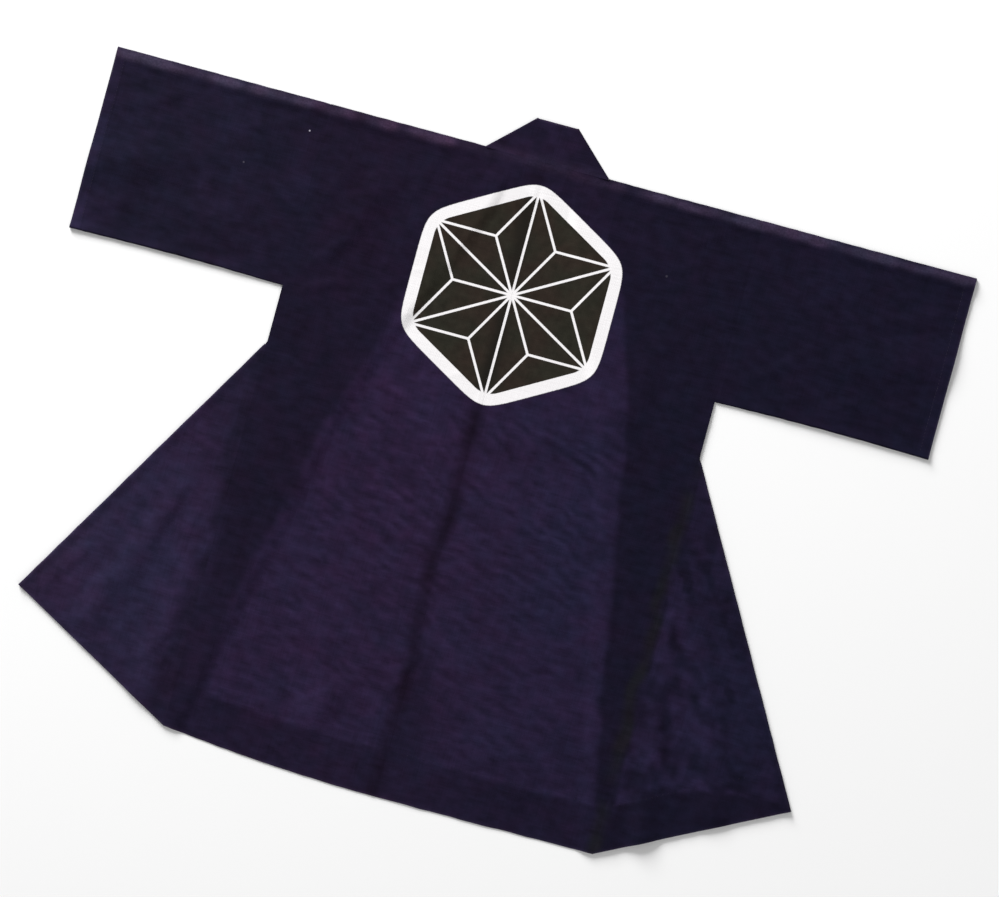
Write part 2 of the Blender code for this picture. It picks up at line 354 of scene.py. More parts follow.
def cloud(x, y, size, seed):
    """Smooth random hills about size across, from -1 to 1, the same on every run."""
    cells = CLOUD_CELLS
    hills = np.random.default_rng(seed).uniform(-1, 1, (cells, cells))
    across, up = x / size + cells / 2, y / size + cells / 2
    i, j = np.floor(across).astype(int), np.floor(up).astype(int)
    s, t = ease(across - i), ease(up - j)
    low = mix(hills[i % cells, j % cells], hills[(i + 1) % cells, j % cells], s)
    high = mix(hills[i % cells, (j + 1) % cells], hills[(i + 1) % cells, (j + 1) % cells], s)
    return mix(low, high, t)


Hills = namedtuple("Hills", "rise size seed")


def rough(x, y, *layers):
    """The sum of several clouds, each with its own rise, size and seed."""
    return sum(layer.rise * cloud(x, y, layer.size, layer.seed) for layer in layers)


# %% Edges of the cut
def free_edge(y):
    """Distance from the centre of the collar's free edge at height y."""
    return from_table(FRONT_EDGE, "free", (TOP_Y - y) / (TOP_Y - HEM_Y))


def seam_edge(y):
    """Distance from the centre of the seam between collar and front at height y."""
    return from_table(FRONT_EDGE, "seam", (SHOULDER_Y - y) / (SHOULDER_Y - HEM_Y))


def hem_y(side, u):
    """Height of the hem at a distance u from the centre."""
    back = mix(HEM_Y, side.hem_at_seam, (np.minimum(u, SIDE_X) / SIDE_X) ** 2)
    out = np.maximum(u - SIDE_X, 0) / (side.corner_x - SIDE_X)
    return back + (side.corner_y - side.hem_at_seam) * out


def inside_gore(side, u, y):
    """Distance inwards from the outer edge of a gore."""
    run_x, run_y = side.corner_x - SIDE_X, side.corner_y - GORE_POINT_Y
    return (run_y * (u - SIDE_X) - run_x * (y - GORE_POINT_Y)) / math.hypot(run_x, run_y)


for side in SIDES:
    print(side.name, "side seam meets the hem", round(float(hem_y(side, SIDE_X)) - HEM_Y, 4), "m up")

# %% [markdown]
# ## How the upper layer lies
#
# Down the middle the back lies straight on the floor. Further out it lies on the fronts and on
# the collar's band, and steps up over the band's edge. A cloth simulation could find this form,
# but it would also move the outline, which has to stay as cut. So the height of the cloth is
# worked out for each point, layer by layer: first how it lies, then its swelling along folded
# edges, then the long folds, and last the fine creases.

# %% Heights of the layers
SHELL = 0.0008
LOW = SHELL / 2
OVER_FRONT = 0.00265
OVER_COLLAR = 0.00315
STEP_IN = 0.002
STEP_RUN = 0.020
NECK_RUN = 0.100
SEAM_RUN = 0.040
ROLL = 0.0016
ROLL_TOP = 0.010
ROLL_RUN = 0.016
ROLL_START = 0.120
ROLL_AT_NECK = 0.030
SLEEVE_MARGIN = 0.010
print("the back lies", LOW, "m above the floor, and", OVER_COLLAR, "m where the collar is below")


def lying(u, y):
    """Height of the middle of the upper layer over bare floor, fronts or collar."""
    lifted = 1 - ease((free_edge(y) - STEP_IN - u) / STEP_RUN)
    at_neck = ease((y - NECK_Y + NECK_RUN) / NECK_RUN)
    over = mix(OVER_COLLAR, OVER_FRONT, ease((u - seam_edge(y)) / SEAM_RUN))
    return mix(LOW, over, np.maximum(lifted, at_neck))


def edge_roll(side, u, y):
    """Swelling near the folded edges: shoulder, sleeve and gore."""
    shoulder = ease((u - NECK_HALF) / ROLL_AT_NECK) * hump((SHOULDER_Y - y - ROLL_TOP) / ROLL_RUN)
    below = ease((u - SIDE_X) / ROLL_START) * hump((y - UNDERARM_Y) / ROLL_RUN)
    outer = hump(inside_gore(side, u, y) / ROLL_RUN) * ease((GORE_POINT_Y - y) / ROLL_START)
    on_sleeve = (u > SIDE_X) & (y > UNDERARM_Y - SLEEVE_MARGIN)
    on_gore = (u > SIDE_X) & ~on_sleeve
    return ROLL * np.where(on_sleeve, np.maximum(shoulder, below), np.where(on_gore, outer, shoulder))


# %% Long soft folds, as in the solids
Fold = namedtuple("Fold", "side x0 y0 x1 y1 reach rise")
FOLDS = (
    Fold("right", 0.306, 0.020, 0.445, -0.372, 0.036, 0.0040),
    Fold("right", 0.309, -0.080, 0.362, -0.436, 0.030, 0.0050),
    Fold("right", 0.020, -0.230, 0.180, -0.410, 0.036, 0.0030),
    Fold("right", 0.345, 0.215, 0.600, 0.300, 0.050, 0.0026),
    Fold("right", 0.250, 0.390, 0.190, 0.120, 0.045, 0.0016),
    Fold("left", 0.318, -0.020, 0.436, -0.335, 0.034, 0.0036),
    Fold("left", 0.306, 0.000, 0.342, -0.410, 0.032, 0.0028),
    Fold("left", 0.022, -0.250, 0.120, -0.395, 0.036, 0.0028),
    Fold("left", 0.350, 0.340, 0.600, 0.250, 0.055, 0.0030),
    Fold("left", 0.285, 0.180, 0.205, 0.330, 0.040, 0.0018),
)
FOLD_START = 0.5
print(len(FOLDS), "long folds, up to", max(fold.rise for fold in FOLDS), "m high")


def fold_height(side, u, y):
    """Rise of the long folds, which start at nothing and grow towards their second end."""
    height = np.zeros_like(u)
    for fold in FOLDS:
        if fold.side != side.name:
            continue
        run_x, run_y = fold.x1 - fold.x0, fold.y1 - fold.y0
        along = ((u - fold.x0) * run_x + (y - fold.y0) * run_y) / (run_x**2 + run_y**2)
        along = np.clip(along, 0, 1)
        away = np.hypot(u - fold.x0 - along * run_x, y - fold.y0 - along * run_y)
        reach = fold.reach * mix(FOLD_START, 1, along)
        height += fold.rise * ease(along) * hump(away / reach)
    return height


# %% [markdown]
# ## Creases and ripples
#
# Cotton that was folded in a drawer keeps short pulls and creases. A displacement texture could
# scatter them, but it would spread them evenly, and real ones gather: under the arms, below the
# emblem, in the gores. So the main ones are listed in a table, each a little different in
# length, width and depth, with one steep side and one gentle. Between them go a few hundred
# small ones from a seeded draw, and the fine ripples that cross the middle of the back.

# %% Creases listed in a table
Crease = namedtuple("Crease", "x0 y0 x1 y1 reach rise bend")
CREASES = (
    Crease(-0.315, 0.205, -0.425, 0.305, 0.016, 0.0009, 0.010),
    Crease(-0.350, 0.182, -0.520, 0.240, 0.018, 0.0008, -0.012),
    Crease(-0.470, 0.398, -0.592, 0.335, 0.015, 0.0008, 0.008),
    Crease(-0.520, 0.225, -0.600, 0.176, 0.020, 0.0011, -0.006),
    Crease(-0.325, 0.385, -0.470, 0.352, 0.013, 0.0006, 0.009),
    Crease(-0.430, 0.260, -0.560, 0.282, 0.014, 0.0005, 0.006),
    Crease(-0.298, 0.180, -0.212, 0.302, 0.017, 0.0010, -0.012),
    Crease(-0.292, 0.150, -0.205, 0.196, 0.013, 0.0008, 0.006),
    Crease(-0.296, 0.235, -0.235, 0.370, 0.013, 0.0006, 0.008),
    Crease(-0.262, 0.402, -0.180, 0.340, 0.014, 0.0006, -0.006),
    Crease(-0.140, 0.404, -0.175, 0.300, 0.012, 0.0005, 0.005),
    Crease(-0.285, 0.075, -0.215, 0.020, 0.014, 0.0006, 0.006),
    Crease(0.318, 0.196, 0.420, 0.285, 0.015, 0.0009, -0.010),
    Crease(0.350, 0.405, 0.480, 0.350, 0.016, 0.0008, 0.010),
    Crease(0.430, 0.190, 0.595, 0.222, 0.014, 0.0007, 0.007),
    Crease(0.455, 0.320, 0.590, 0.372, 0.018, 0.0008, -0.009),
    Crease(0.330, 0.330, 0.440, 0.300, 0.012, 0.0005, 0.005),
    Crease(0.298, 0.176, 0.225, 0.290, 0.016, 0.0010, 0.011),
    Crease(0.294, 0.142, 0.222, 0.180, 0.012, 0.0007, -0.005),
    Crease(0.297, 0.240, 0.245, 0.365, 0.013, 0.0006, -0.008),
    Crease(0.270, 0.404, 0.200, 0.352, 0.013, 0.0006, 0.006),
    Crease(0.150, 0.403, 0.182, 0.305, 0.012, 0.0005, -0.005),
    Crease(-0.150, 0.066, -0.055, 0.040, 0.010, 0.0007, 0.004),
    Crease(0.045, 0.075, 0.160, 0.048, 0.010, 0.0006, -0.004),
    Crease(-0.178, -0.052, -0.035, -0.094, 0.011, 0.0008, 0.006),
    Crease(0.030, -0.028, 0.190, -0.082, 0.011, 0.0007, -0.007),
    Crease(-0.192, -0.150, -0.024, -0.188, 0.012, 0.0007, 0.006),
    Crease(0.055, -0.132, 0.212, -0.186, 0.012, 0.0008, 0.008),
    Crease(-0.205, -0.250, -0.075, -0.292, 0.013, 0.0007, -0.006),
    Crease(0.105, -0.214, 0.226, -0.262, 0.012, 0.0007, 0.005),
    Crease(-0.062, -0.255, -0.020, -0.330, 0.018, 0.0012, 0.004),
    Crease(0.018, -0.250, -0.038, -0.392, 0.014, 0.0010, -0.006),
    Crease(0.028, -0.240, 0.104, -0.396, 0.014, 0.0010, 0.008),
    Crease(0.086, -0.312, 0.184, -0.398, 0.014, 0.0013, 0.005),
    Crease(-0.182, -0.350, -0.092, -0.388, 0.018, 0.0012, -0.007),
    Crease(-0.232, -0.030, -0.262, -0.300, 0.016, 0.0006, 0.006),
    Crease(0.240, -0.060, 0.268, -0.372, 0.015, 0.0006, -0.006),
    Crease(-0.356, -0.105, -0.404, -0.262, 0.018, 0.0007, 0.006),
    Crease(-0.405, -0.270, -0.446, -0.310, 0.022, 0.0009, -0.005),
    Crease(-0.322, -0.120, -0.350, -0.300, 0.012, 0.0008, -0.006),
    Crease(-0.452, -0.225, -0.520, -0.318, 0.016, 0.0010, 0.006),
    Crease(-0.318, -0.300, -0.380, -0.400, 0.015, 0.0009, 0.006),
    Crease(0.310, -0.128, 0.334, -0.172, 0.010, 0.0013, 0.003),
    Crease(0.344, -0.160, 0.380, -0.196, 0.011, 0.0012, -0.004),
    Crease(0.316, -0.240, 0.352, -0.300, 0.011, 0.0010, 0.004),
    Crease(0.326, -0.335, 0.345, -0.372, 0.012, 0.0013, 0.003),
    Crease(0.362, -0.338, 0.408, -0.364, 0.010, 0.0015, -0.003),
    Crease(0.392, -0.226, 0.420, -0.300, 0.012, 0.0010, 0.004),
    Crease(0.420, -0.180, 0.505, -0.320, 0.014, 0.0007, -0.006),
)
FRONT_CREASES = (
    Crease(0.120, 0.380, 0.260, 0.240, 0.020, 0.00030, 0.012),
    Crease(0.290, 0.180, 0.215, 0.250, 0.018, 0.00035, -0.010),
    Crease(0.230, 0.150, 0.290, 0.020, 0.016, 0.00025, 0.010),
    Crease(0.270, 0.040, 0.330, -0.190, 0.018, 0.00035, -0.012),
    Crease(0.300, -0.120, 0.420, -0.330, 0.022, 0.00030, 0.014),
    Crease(0.390, -0.250, 0.370, -0.420, 0.018, 0.00035, -0.008),
)
STEEP = 0.7
GENTLE = 1.3
CREASE_START = 0.3
CREASE_END = 0.4


def crease_height(creases, x, y):
    """Rise of bent ridges, steeper on one side than on the other."""
    height = np.zeros_like(x)
    for crease in creases:
        run_x, run_y = crease.x1 - crease.x0, crease.y1 - crease.y0
        length = math.hypot(run_x, run_y)
        off_x, off_y = x - crease.x0, y - crease.y0
        along = (off_x * run_x + off_y * run_y) / length**2
        away = (off_y * run_x - off_x * run_y) / length - crease.bend * 4 * along * (1 - along)
        on = (along > 0) & (along < 1) & (np.abs(away) < GENTLE * crease.reach)
        share = away[on] / (crease.reach * np.where(away[on] > 0, STEEP, GENTLE))
        ends = ease(along[on] / CREASE_START) * ease((1 - along[on]) / CREASE_END)
        height[on] += crease.rise * ends * hump(share)
    return height


print(len(CREASES), "creases on the back,", len(FRONT_CREASES), "on each front")

# %% Small creases from a seeded draw
SMALL_CREASES = 420
MEAN_TURN = -0.25
TURN_SPREAD = 0.6
UPRIGHT_SHARE = 0.25
LENGTHS = (0.018, 0.070)
REACHES = (0.0035, 0.008)
RISES = (0.00008, 0.00030)
BENDS = (-0.12, 0.12)


def scattered(count, seed):
    """Short creases all over the coat, mostly across it, as from a folded coat."""
    draw = np.random.default_rng(seed)
    made = []
    for _ in range(count):
        x, y = draw.uniform(-CUFF_X, CUFF_X), draw.uniform(HEM_Y, SHOULDER_Y)
        turn = draw.normal(MEAN_TURN, TURN_SPREAD)
        turn += math.pi / 2 if draw.random() < UPRIGHT_SHARE else 0
        length = draw.uniform(*LENGTHS)
        reach, rise = draw.uniform(*REACHES), draw.uniform(*RISES)
        bend = length * draw.uniform(*BENDS)
        tip_x, tip_y = x + length * math.cos(turn), y + length * math.sin(turn)
        made.append(Crease(x, y, tip_x, tip_y, reach, rise, bend))
    return made


small_creases = scattered(SMALL_CREASES, 11)
print(len(small_creases), "small creases")

# %% Ripples across the middle of the back
RIPPLE = 0.00080
RIPPLE_PITCH = 0.0185
RIPPLE_LEAN = 0.36
RIPPLE_WARP = (Hills(0.009, 0.070, 3), Hills(0.006, 0.020, 4))
RIPPLE_SHARE = 0.50
RIPPLE_PATCHES = (Hills(0.35, 0.045, 5), Hills(0.60, 0.017, 2))
RIPPLE_X = 0.01
RIPPLE_HALF = 0.15
RIPPLE_FADE = 0.09
STRONGEST_PATCH = 1.3
BELOW_EMBLEM = (0.09, 0.04)
LOWER_HALF = (-0.10, -0.35)
LOWER_SHARE = 0.45
ABOVE_HEM = (-0.41, -0.38)
print("ripples every", RIPPLE_PITCH, "m")


def ripple(x, y):
    """Fine waves that lean down to the right, strong in patches and weaker further down."""
    warp = rough(x, y, *RIPPLE_WARP)
    wave = np.sin(2 * math.pi * (y + RIPPLE_LEAN * x + warp) / RIPPLE_PITCH)
    patch = np.clip(RIPPLE_SHARE + rough(x, y, *RIPPLE_PATCHES), 0, STRONGEST_PATCH)
    middle = hump(np.maximum(np.abs(x - RIPPLE_X) - RIPPLE_HALF, 0) / RIPPLE_FADE)
    lower = mix(1, LOWER_SHARE, past(y, *LOWER_HALF)) * past(y, *ABOVE_HEM)
    return patch * middle * past(y, *BELOW_EMBLEM) * lower * wave


# %% Puckers along the seams
PUCKER = 0.00016
PUCKER_PITCH = 0.011
PUCKER_RUN = 0.014
PUCKER_WARP_Y = Hills(0.004, 0.05, 6)
PUCKER_WARP_X = Hills(0.004, 0.05, 7)
CENTRE_PUCKER = 0.3
HEM_BAND = 0.068
print("a pucker every", PUCKER_PITCH, "m")


def pucker_height(side, u, y):
    """Small gathers that stand square to the sewn seams."""
    x = side.sign * u
    across = PUCKER * np.sin(2 * math.pi * (y + rough(x, y, PUCKER_WARP_Y)) / PUCKER_PITCH)
    along = PUCKER * np.sin(2 * math.pi * (x + rough(x, y, PUCKER_WARP_X)) / PUCKER_PITCH)
    at_seams = CENTRE_PUCKER * hump(u / PUCKER_RUN) + near(u, SIDE_X, PUCKER_RUN)
    at_hem = near(y, hem_y(side, u) + HEM_BAND, PUCKER_RUN)
    return at_seams * across + at_hem * along


# %% Crushed gores
CRUMPLE = {"left": 0.0003, "right": 0.0007}
CRUMPLE_HILLS = Hills(0.6, 0.013, 12)
CRUMPLE_RIDGES = Hills(0.4, 0.020, 13)
CRUMPLE_FROM_SEAM = 0.01
CRUMPLE_FROM_POINT = 0.03


def crumple_height(side, u, y):
    """The crushed cloth of a gore, in small sharp hills."""
    x = side.sign * u
    crushed = rough(x, y, CRUMPLE_HILLS) + np.abs(rough(x, y, CRUMPLE_RIDGES))
    from_seam = ease((u - SIDE_X) / CRUMPLE_FROM_SEAM)
    from_point = ease((GORE_POINT_Y - y) / CRUMPLE_FROM_POINT)
    return CRUMPLE[side.name] * crushed * from_seam * from_point


# %% Turned-in hems and cuffs
HEM_STEP = 0.005
CUFF_BAND = 0.015
CUFF_STEP = 0.003
BAND_RISE = 0.0004
print("hem turned in", HEM_BAND, "m, cuffs", CUFF_BAND, "m")


def band_height(side, u, y):
    """The turned-in cloth behind the hem and the cuff, which stands a little proud."""
    hem = ease((hem_y(side, u) + HEM_BAND - y) / HEM_STEP)
    cuff = ease((u - CUFF_X + CUFF_BAND) / CUFF_STEP) * (y > UNDERARM_Y - SLEEVE_MARGIN)
    return BAND_RISE * np.maximum(np.where(y < UNDERARM_Y, hem, 0), cuff)


# %% The centre seam: its turnings are pressed to the left
TURNING = 0.014
TURNING_RUN = 0.008
TURNING_START = 0.005
TURNING_RISE = 0.00028
CENTRE_DIP = 0.00012
CENTRE_REACH = 0.006
SIDE_DIP = 0.00015
SIDE_REACH = 0.005
NECK_LIFT = 0.00105
NECK_LIFT_RUN = 0.015
NECK_LIFT_FADE = 0.020


def centre_height(side, u):
    """A flat ridge beside the centre seam, and a valley in the seam itself."""
    ridge = ease((TURNING - u) / TURNING_RUN) * ease(u / TURNING_START) if side is LEFT else 0 * u
    return TURNING_RISE * ridge - CENTRE_DIP * hump(u / CENTRE_REACH)


def side_dip(u):
    """The shallow valley in the side seam and where the sleeve is sewn on."""
    return -SIDE_DIP * near(u, SIDE_X, SIDE_REACH)


def neck_lift(u, y):
    """The back's edge rides up against the collar."""
    at_edge = ease((y - NECK_Y + NECK_LIFT_RUN) / NECK_LIFT_RUN)
    return NECK_LIFT * at_edge * ease((NECK_HALF - u) / NECK_LIFT_FADE)


print("centre seam turned in", TURNING, "m and", TURNING_RISE, "m high")

# %% Height of each layer
SWELL = Hills(0.0003, 0.045, 8)
FRONT_SWELL = Hills(0.00012, 0.040, 9)


def upper_z(side, u, y):
    """Height of the middle of the cloth in the upper layer."""
    x = side.sign * u
    z = lying(u, y) + edge_roll(side, u, y) + fold_height(side, u, y)
    z += crease_height(CREASES, x, y) + crease_height(small_creases, x, y)
    z += RIPPLE * ripple(x, y) + pucker_height(side, u, y) + band_height(side, u, y)
    z += centre_height(side, u) + side_dip(u) + rough(x, y, SWELL)
    z += crumple_height(side, u, y) + neck_lift(u, y)
    return np.maximum(z, LOW)


def lower_z(u, y):
    """Height of the middle of the cloth in the lower layer, which rests on the floor."""
    swell = FRONT_SWELL.rise + rough(u, y, FRONT_SWELL)
    return LOW + crease_height(FRONT_CREASES, u, y) + swell


for side in SIDES:
    at_emblem = float(upper_z(side, np.array([0.1]), np.array([0.23]))[0])
    print(side.name, "half of the back lies", round(at_emblem, 5), "m up beside the emblem")

# %% [markdown]
# ## Tone marks: painted light and shade
#
# The cloth is thin. Where it is single the pale floor brightens it, and where it lies double it
# is darker, so the fronts' edges show through the back. Real light through the cloth could do
# this, but it would need a long render to be free of noise. So this light and shade is painted:
# the tone of each point is worked out once and kept with the mesh, where the finish reads it. So
# are the painted shade of the centre seam, the olive painted shadow along the right side seam,
# the painted highlights on folded edges and hems, and where the dye is bluer or redder.

# %% Painted light and shade of the back
LightEdge = namedtuple("LightEdge", "y left right")
LIGHT_EDGE = (
    LightEdge(-0.470, 0.268, 0.300),
    LightEdge(-0.400, 0.262, 0.285),
    LightEdge(-0.300, 0.256, 0.265),
    LightEdge(-0.200, 0.240, 0.247),
    LightEdge(-0.100, 0.212, 0.230),
    LightEdge(0.000, 0.195, 0.210),
    LightEdge(0.100, 0.162, 0.193),
    LightEdge(0.250, 0.122, 0.150),
    LightEdge(0.330, 0.090, 0.110),
    LightEdge(0.400, 0.060, 0.070),
)
EDGE_SOFT = {"left": 0.022, "right": 0.014}
EDGE_WANDER = Hills(0.004, 0.03, 21)
NECK_TONE = 0.85
NECK_FADE = (0.320, 0.360)
HEM_TONE = 0.72
HEM_SOFT = 0.010
HOLLOW_TONE = 0.72
HOLLOW_X = 0.020
HOLLOW_TOP = -0.24
HOLLOW_FULL = -0.30
HOLLOW_FOOT = -0.41
HOLLOW_HALVES = (0.004, 0.080)
print("light middle", [round(row.left + row.right, 3) for row in LIGHT_EDGE], "m wide")

# %% Painted paler and darker strips of the left half
PALE_SHARE = 0.18
PALE_Y = (-0.20, -0.32)
PALE_U = (0.20, 0.25)
PALE_SEAM_SHARE = 0.42
PALE_SEAM_Y = (-0.20, 0.11)
PALE_SEAM_U = (0.284, 0.302)
DARK_SEAM_TONE = 0.85
DARK_SEAM_Y = (-0.27, -0.31)
DARK_SEAM_U = (0.300, 0.045)


def paler_left(u, y, tone):
    """Painted light and shade: paler low down and by the seam, dark again at the seam's end."""
    tone = tone * (1 - PALE_SHARE * past(y, *PALE_Y) * past(u, *PALE_U))
    tone = tone * (1 - PALE_SEAM_SHARE * past(u, *PALE_SEAM_U) * near(y, *PALE_SEAM_Y))
    return np.maximum(tone, DARK_SEAM_TONE * near(u, *DARK_SEAM_U) * past(y, *DARK_SEAM_Y))


# %% Painted shade in strokes on the single cloth
STROKE_TURN = (0.94, 0.34)
STROKE_STRETCH = 0.45
STROKES = Hills(0.27, 0.012, 28)
STROKE_PATCHES = Hills(0.135, 0.026, 36)
STROKE_TONE = 0.14
RIPPLE_TONE = 0.40


def stroked(x, y):
    """Painted shade: short dark strokes, and the ripples' lighter and darker sides."""
    c, s = STROKE_TURN
    down, beside = c * y + s * x, c * x - s * y
    strokes = rough(STROKE_STRETCH * beside, down, STROKES) + rough(x, y, STROKE_PATCHES)
    return STROKE_TONE - RIPPLE_TONE * ripple(x, y) + strokes


def back_painted_shade(side, u, y):
    """Painted shade: 0 where the back is single and lit through, 1 where the fronts lie beneath it."""
    x = side.sign * u
    # Painted light: the single middle of the back is lit through by the floor.
    edge = from_table(LIGHT_EDGE, side.name, y) + rough(x, y, EDGE_WANDER)
    tone = ease((u - edge) / EDGE_SOFT[side.name] + 0.5)
    # Painted shade near the neck.
    tone = np.maximum(tone, NECK_TONE * past(y, *NECK_FADE))
    if side is LEFT:
        tone = paler_left(u, y, tone)
    # Painted shade at the turned-in hem, in a hollow low in the middle, and in strokes along the
    # ripples.
    hem = ease((hem_y(side, u) + HEM_BAND - y) / HEM_SOFT)
    hollow_half = mix(*HOLLOW_HALVES, past(y, HOLLOW_TOP, HOLLOW_FOOT))
    hollow = near(x, HOLLOW_X, hollow_half) * past(y, HOLLOW_TOP, HOLLOW_FULL)
    return np.maximum.reduce([tone, HEM_TONE * hem, HOLLOW_TONE * hollow, stroked(x, y)])


def at_place(mark, u, y):
    """A mark at one place of the left side and of the right, for a look at the numbers."""
    return [round(float(mark(side, np.array([u]), np.array([y]))[0]), 2) for side in SIDES]


print("back by the side seam, left and right:", at_place(back_painted_shade, 0.28, 0.10))
print("back near the middle:", at_place(back_painted_shade, 0.05, 0.10))

# %% Painted light and shade of the left gore
LEFT_EDGE = 0.322
LEFT_WANDER = Hills(0.007, 0.028, 29)
LEFT_SOFT = 0.026
EDGE_IN = 0.018
EDGE_IN_Y = (-0.20, 0.11)
EDGE_OUT = 0.010
EDGE_OUT_Y = (-0.30, -0.38)
SHADED_TONES = (0.90, 0.75)
SHADED_Y = (-0.28, -0.34)
POINT_TONE = 0.70
POINT_Y = (0.03, 0.27)
POINT_U = (0.30, 0.095)
STREAKS = Hills(0.12, 0.012, 22)
STREAK_LEAN = 0.35
STREAK_STRETCH = 0.15


def left_gore_painted_shade(u, y):
    """Painted light and shade: pale, a shaded strip along the seam and a dark point at the top."""
    x = LEFT.sign * u
    edge = LEFT_EDGE - EDGE_IN * near(y, *EDGE_IN_Y) + EDGE_OUT * past(y, *EDGE_OUT_Y)
    beyond = ease((u - edge - rough(x, y, LEFT_WANDER)) / LEFT_SOFT + 0.5)
    shaded = mix(*SHADED_TONES, past(y, *SHADED_Y)) * (1 - beyond)
    point = POINT_TONE * near(y, *POINT_Y) * near(u, *POINT_U)
    streaks = rough(x - STREAK_LEAN * y, STREAK_STRETCH * y, STREAKS)
    return np.clip(np.maximum(shaded, point) + streaks, 0, 1)


# %% Painted light and shade of the right gore
GoreBand = namedtuple("GoreBand", "u line")
GORE_BAND = (GoreBand(0.300, -0.400), GoreBand(0.410, -0.347), GoreBand(0.540, -0.328))
BAND_SOFT = 0.008
BRIGHT_SHARE = 0.55
BRIGHT_ABOVE = 0.012
BRIGHT_U = (0.372, 0.050)
OUTER_BAND = 0.058
OUTER_SOFT = 0.020
OUTER_TONE = 0.55
RIGHT_EDGE = 0.312
RIGHT_WANDER = Hills(0.006, 0.020, 30)
RIGHT_SOFT = 0.014
RIGHT_TONE = 0.48
TOP_SHARE = 0.30
TOP_FADE = (-0.12, -0.02)
PATCH_TURN = (0.82, 0.57)
PATCH_STRETCH = 0.4
LONG_PATCHES = Hills(0.60, 0.015, 23)
SMALL_PATCHES = Hills(0.36, 0.010, 24)


def right_gore_painted_shade(u, y):
    """Painted shade: patchy, with a dark outer band, hem and seam;
    a painted highlight above the hem.
    """
    x = RIGHT.sign * u
    outer = 1 - ease((inside_gore(RIGHT, u, y) - OUTER_BAND) / OUTER_SOFT)
    line = from_table(GORE_BAND, "line", u)
    hem = ease((line - y) / BAND_SOFT)
    seam = 1 - ease((u - RIGHT_EDGE - rough(x, y, RIGHT_WANDER)) / RIGHT_SOFT + 0.5)
    c, s = PATCH_TURN
    across, along = c * x + s * y, s * x - c * y
    patches = rough(across, PATCH_STRETCH * along, LONG_PATCHES) + rough(x, y, SMALL_PATCHES)
    bright = BRIGHT_SHARE * near(y, line + BRIGHT_ABOVE, BRIGHT_ABOVE) * near(u, *BRIGHT_U)
    inner = RIGHT_TONE + patches + TOP_SHARE * past(y, *TOP_FADE) - bright
    return np.clip(np.maximum.reduce([inner, OUTER_TONE * outer, hem, seam]), 0, 1)


def gore_painted_shade(side, u, y):
    return left_gore_painted_shade(u, y) if side is LEFT else right_gore_painted_shade(u, y)


print("middle of the gores:", at_place(gore_painted_shade, 0.40, -0.25))

# %% Painted light and shade of the sleeves
SleeveTone = namedtuple("SleeveTone", "tone cuff corner end uneven")
SLEEVE_TONES = {
    "left": SleeveTone(0.96, 0.38, 0.34, 0.14, 1.9),
    "right": SleeveTone(0.95, 0.10, 0, 0, 1),
}
SLEEVE_HILLS = (Hills(0.10, 0.06, 25), Hills(0.10, 0.022, 24))
CUFF_SOFT = 0.004
CORNER_REACH_U = 0.07
CORNER_REACH_Y = 0.045
SLEEVE_END = (0.44, 0.60)


def sleeve_painted_shade(side, u, y):
    """Painted shade of cloth double all over, painted paler towards the cuff and its corner."""
    look = SLEEVE_TONES[side.name]
    cuff = ease((u - CUFF_X + CUFF_BAND) / CUFF_SOFT)
    corner = near(u, CUFF_X, CORNER_REACH_U) * near(y, UNDERARM_Y, CORNER_REACH_Y)
    lighter = look.cuff * cuff + look.corner * corner + look.end * past(u, *SLEEVE_END)
    uneven = look.uneven * rough(side.sign * u, y, *SLEEVE_HILLS)
    return np.clip(look.tone - lighter + uneven, 0, 1)


print("middle of the sleeves:", at_place(sleeve_painted_shade, 0.45, 0.29))

# %% Painted shade of the centre seam and olive painted shadow of the right side seam
CREASE_X = -0.006
CREASE_REACH = 0.019
CREASE_LINE = Hills(0.005, 0.075, 36)
CREASE_EDGE = Hills(0.0015, 0.020, 37)
SEAM_SHADE_TONE = 0.80
SEAM_SHADE_HILLS = Hills(0.25, 0.040, 34)
NECK_END = SHOULDER_Y - 0.02
NECK_SHARE = 0.4
GREEN_U = SIDE_X - 0.002
GREEN_REACH = 0.016
GREEN_LINE = Hills(0.0035, 0.030, 35)
OLIVE_SHADOW_TONE = 0.70
GREEN_HILLS = Hills(0.85, 0.024, 27)
GREEN_TOP = GORE_POINT_Y + 0.02
GREEN_RUN = 0.08


def seam_shade(side, u, y):
    """1 in the painted shade of the centre seam, and fainter at the neck."""
    x = side.sign * u
    wander = rough(0 * x, y, CREASE_LINE) + rough(x, y, CREASE_EDGE)
    line = (SEAM_SHADE_TONE + rough(x, y, SEAM_SHADE_HILLS)) * near(x + wander, CREASE_X, CREASE_REACH)
    return np.clip(np.where(y < NECK_END, line, NECK_SHARE * line), 0, 1)


def olive_seam_shadow(side, u, y):
    """1 in the ragged olive painted shadow along the right side seam."""
    if side is LEFT:
        return 0 * u
    ragged = OLIVE_SHADOW_TONE + rough(u, y, GREEN_HILLS)
    line = near(u + rough(u, y, GREEN_LINE), GREEN_U, GREEN_REACH)
    return np.clip(ragged * line * ease((GREEN_TOP - y) / GREEN_RUN), 0, 1)


print("dark line of the centre seam:", at_place(seam_shade, 0.005, -0.10))
print("olive line of the side seam:", at_place(olive_seam_shadow, GREEN_U, -0.20))

# %% Painted highlights on folded edges and hems
HIGHLIGHT_Y = SHOULDER_Y - 0.007
HIGHLIGHT_REACH = 0.011
HIGHLIGHT_TONE = 1.08
HIGHLIGHT_HILLS = Hills(0.95, 0.020, 26)
CUFF_HIGHLIGHT = 0.55
HEM_HIGHLIGHT = 0.40
HIGHLIGHT_LEAST = 0.1
NECK_HIGHLIGHT = ((0.45, 0.12), (0.6, 0.02))
CUFF_HIGHLIGHT_REACH = 0.003
HEM_HIGHLIGHT_REACH = 0.004


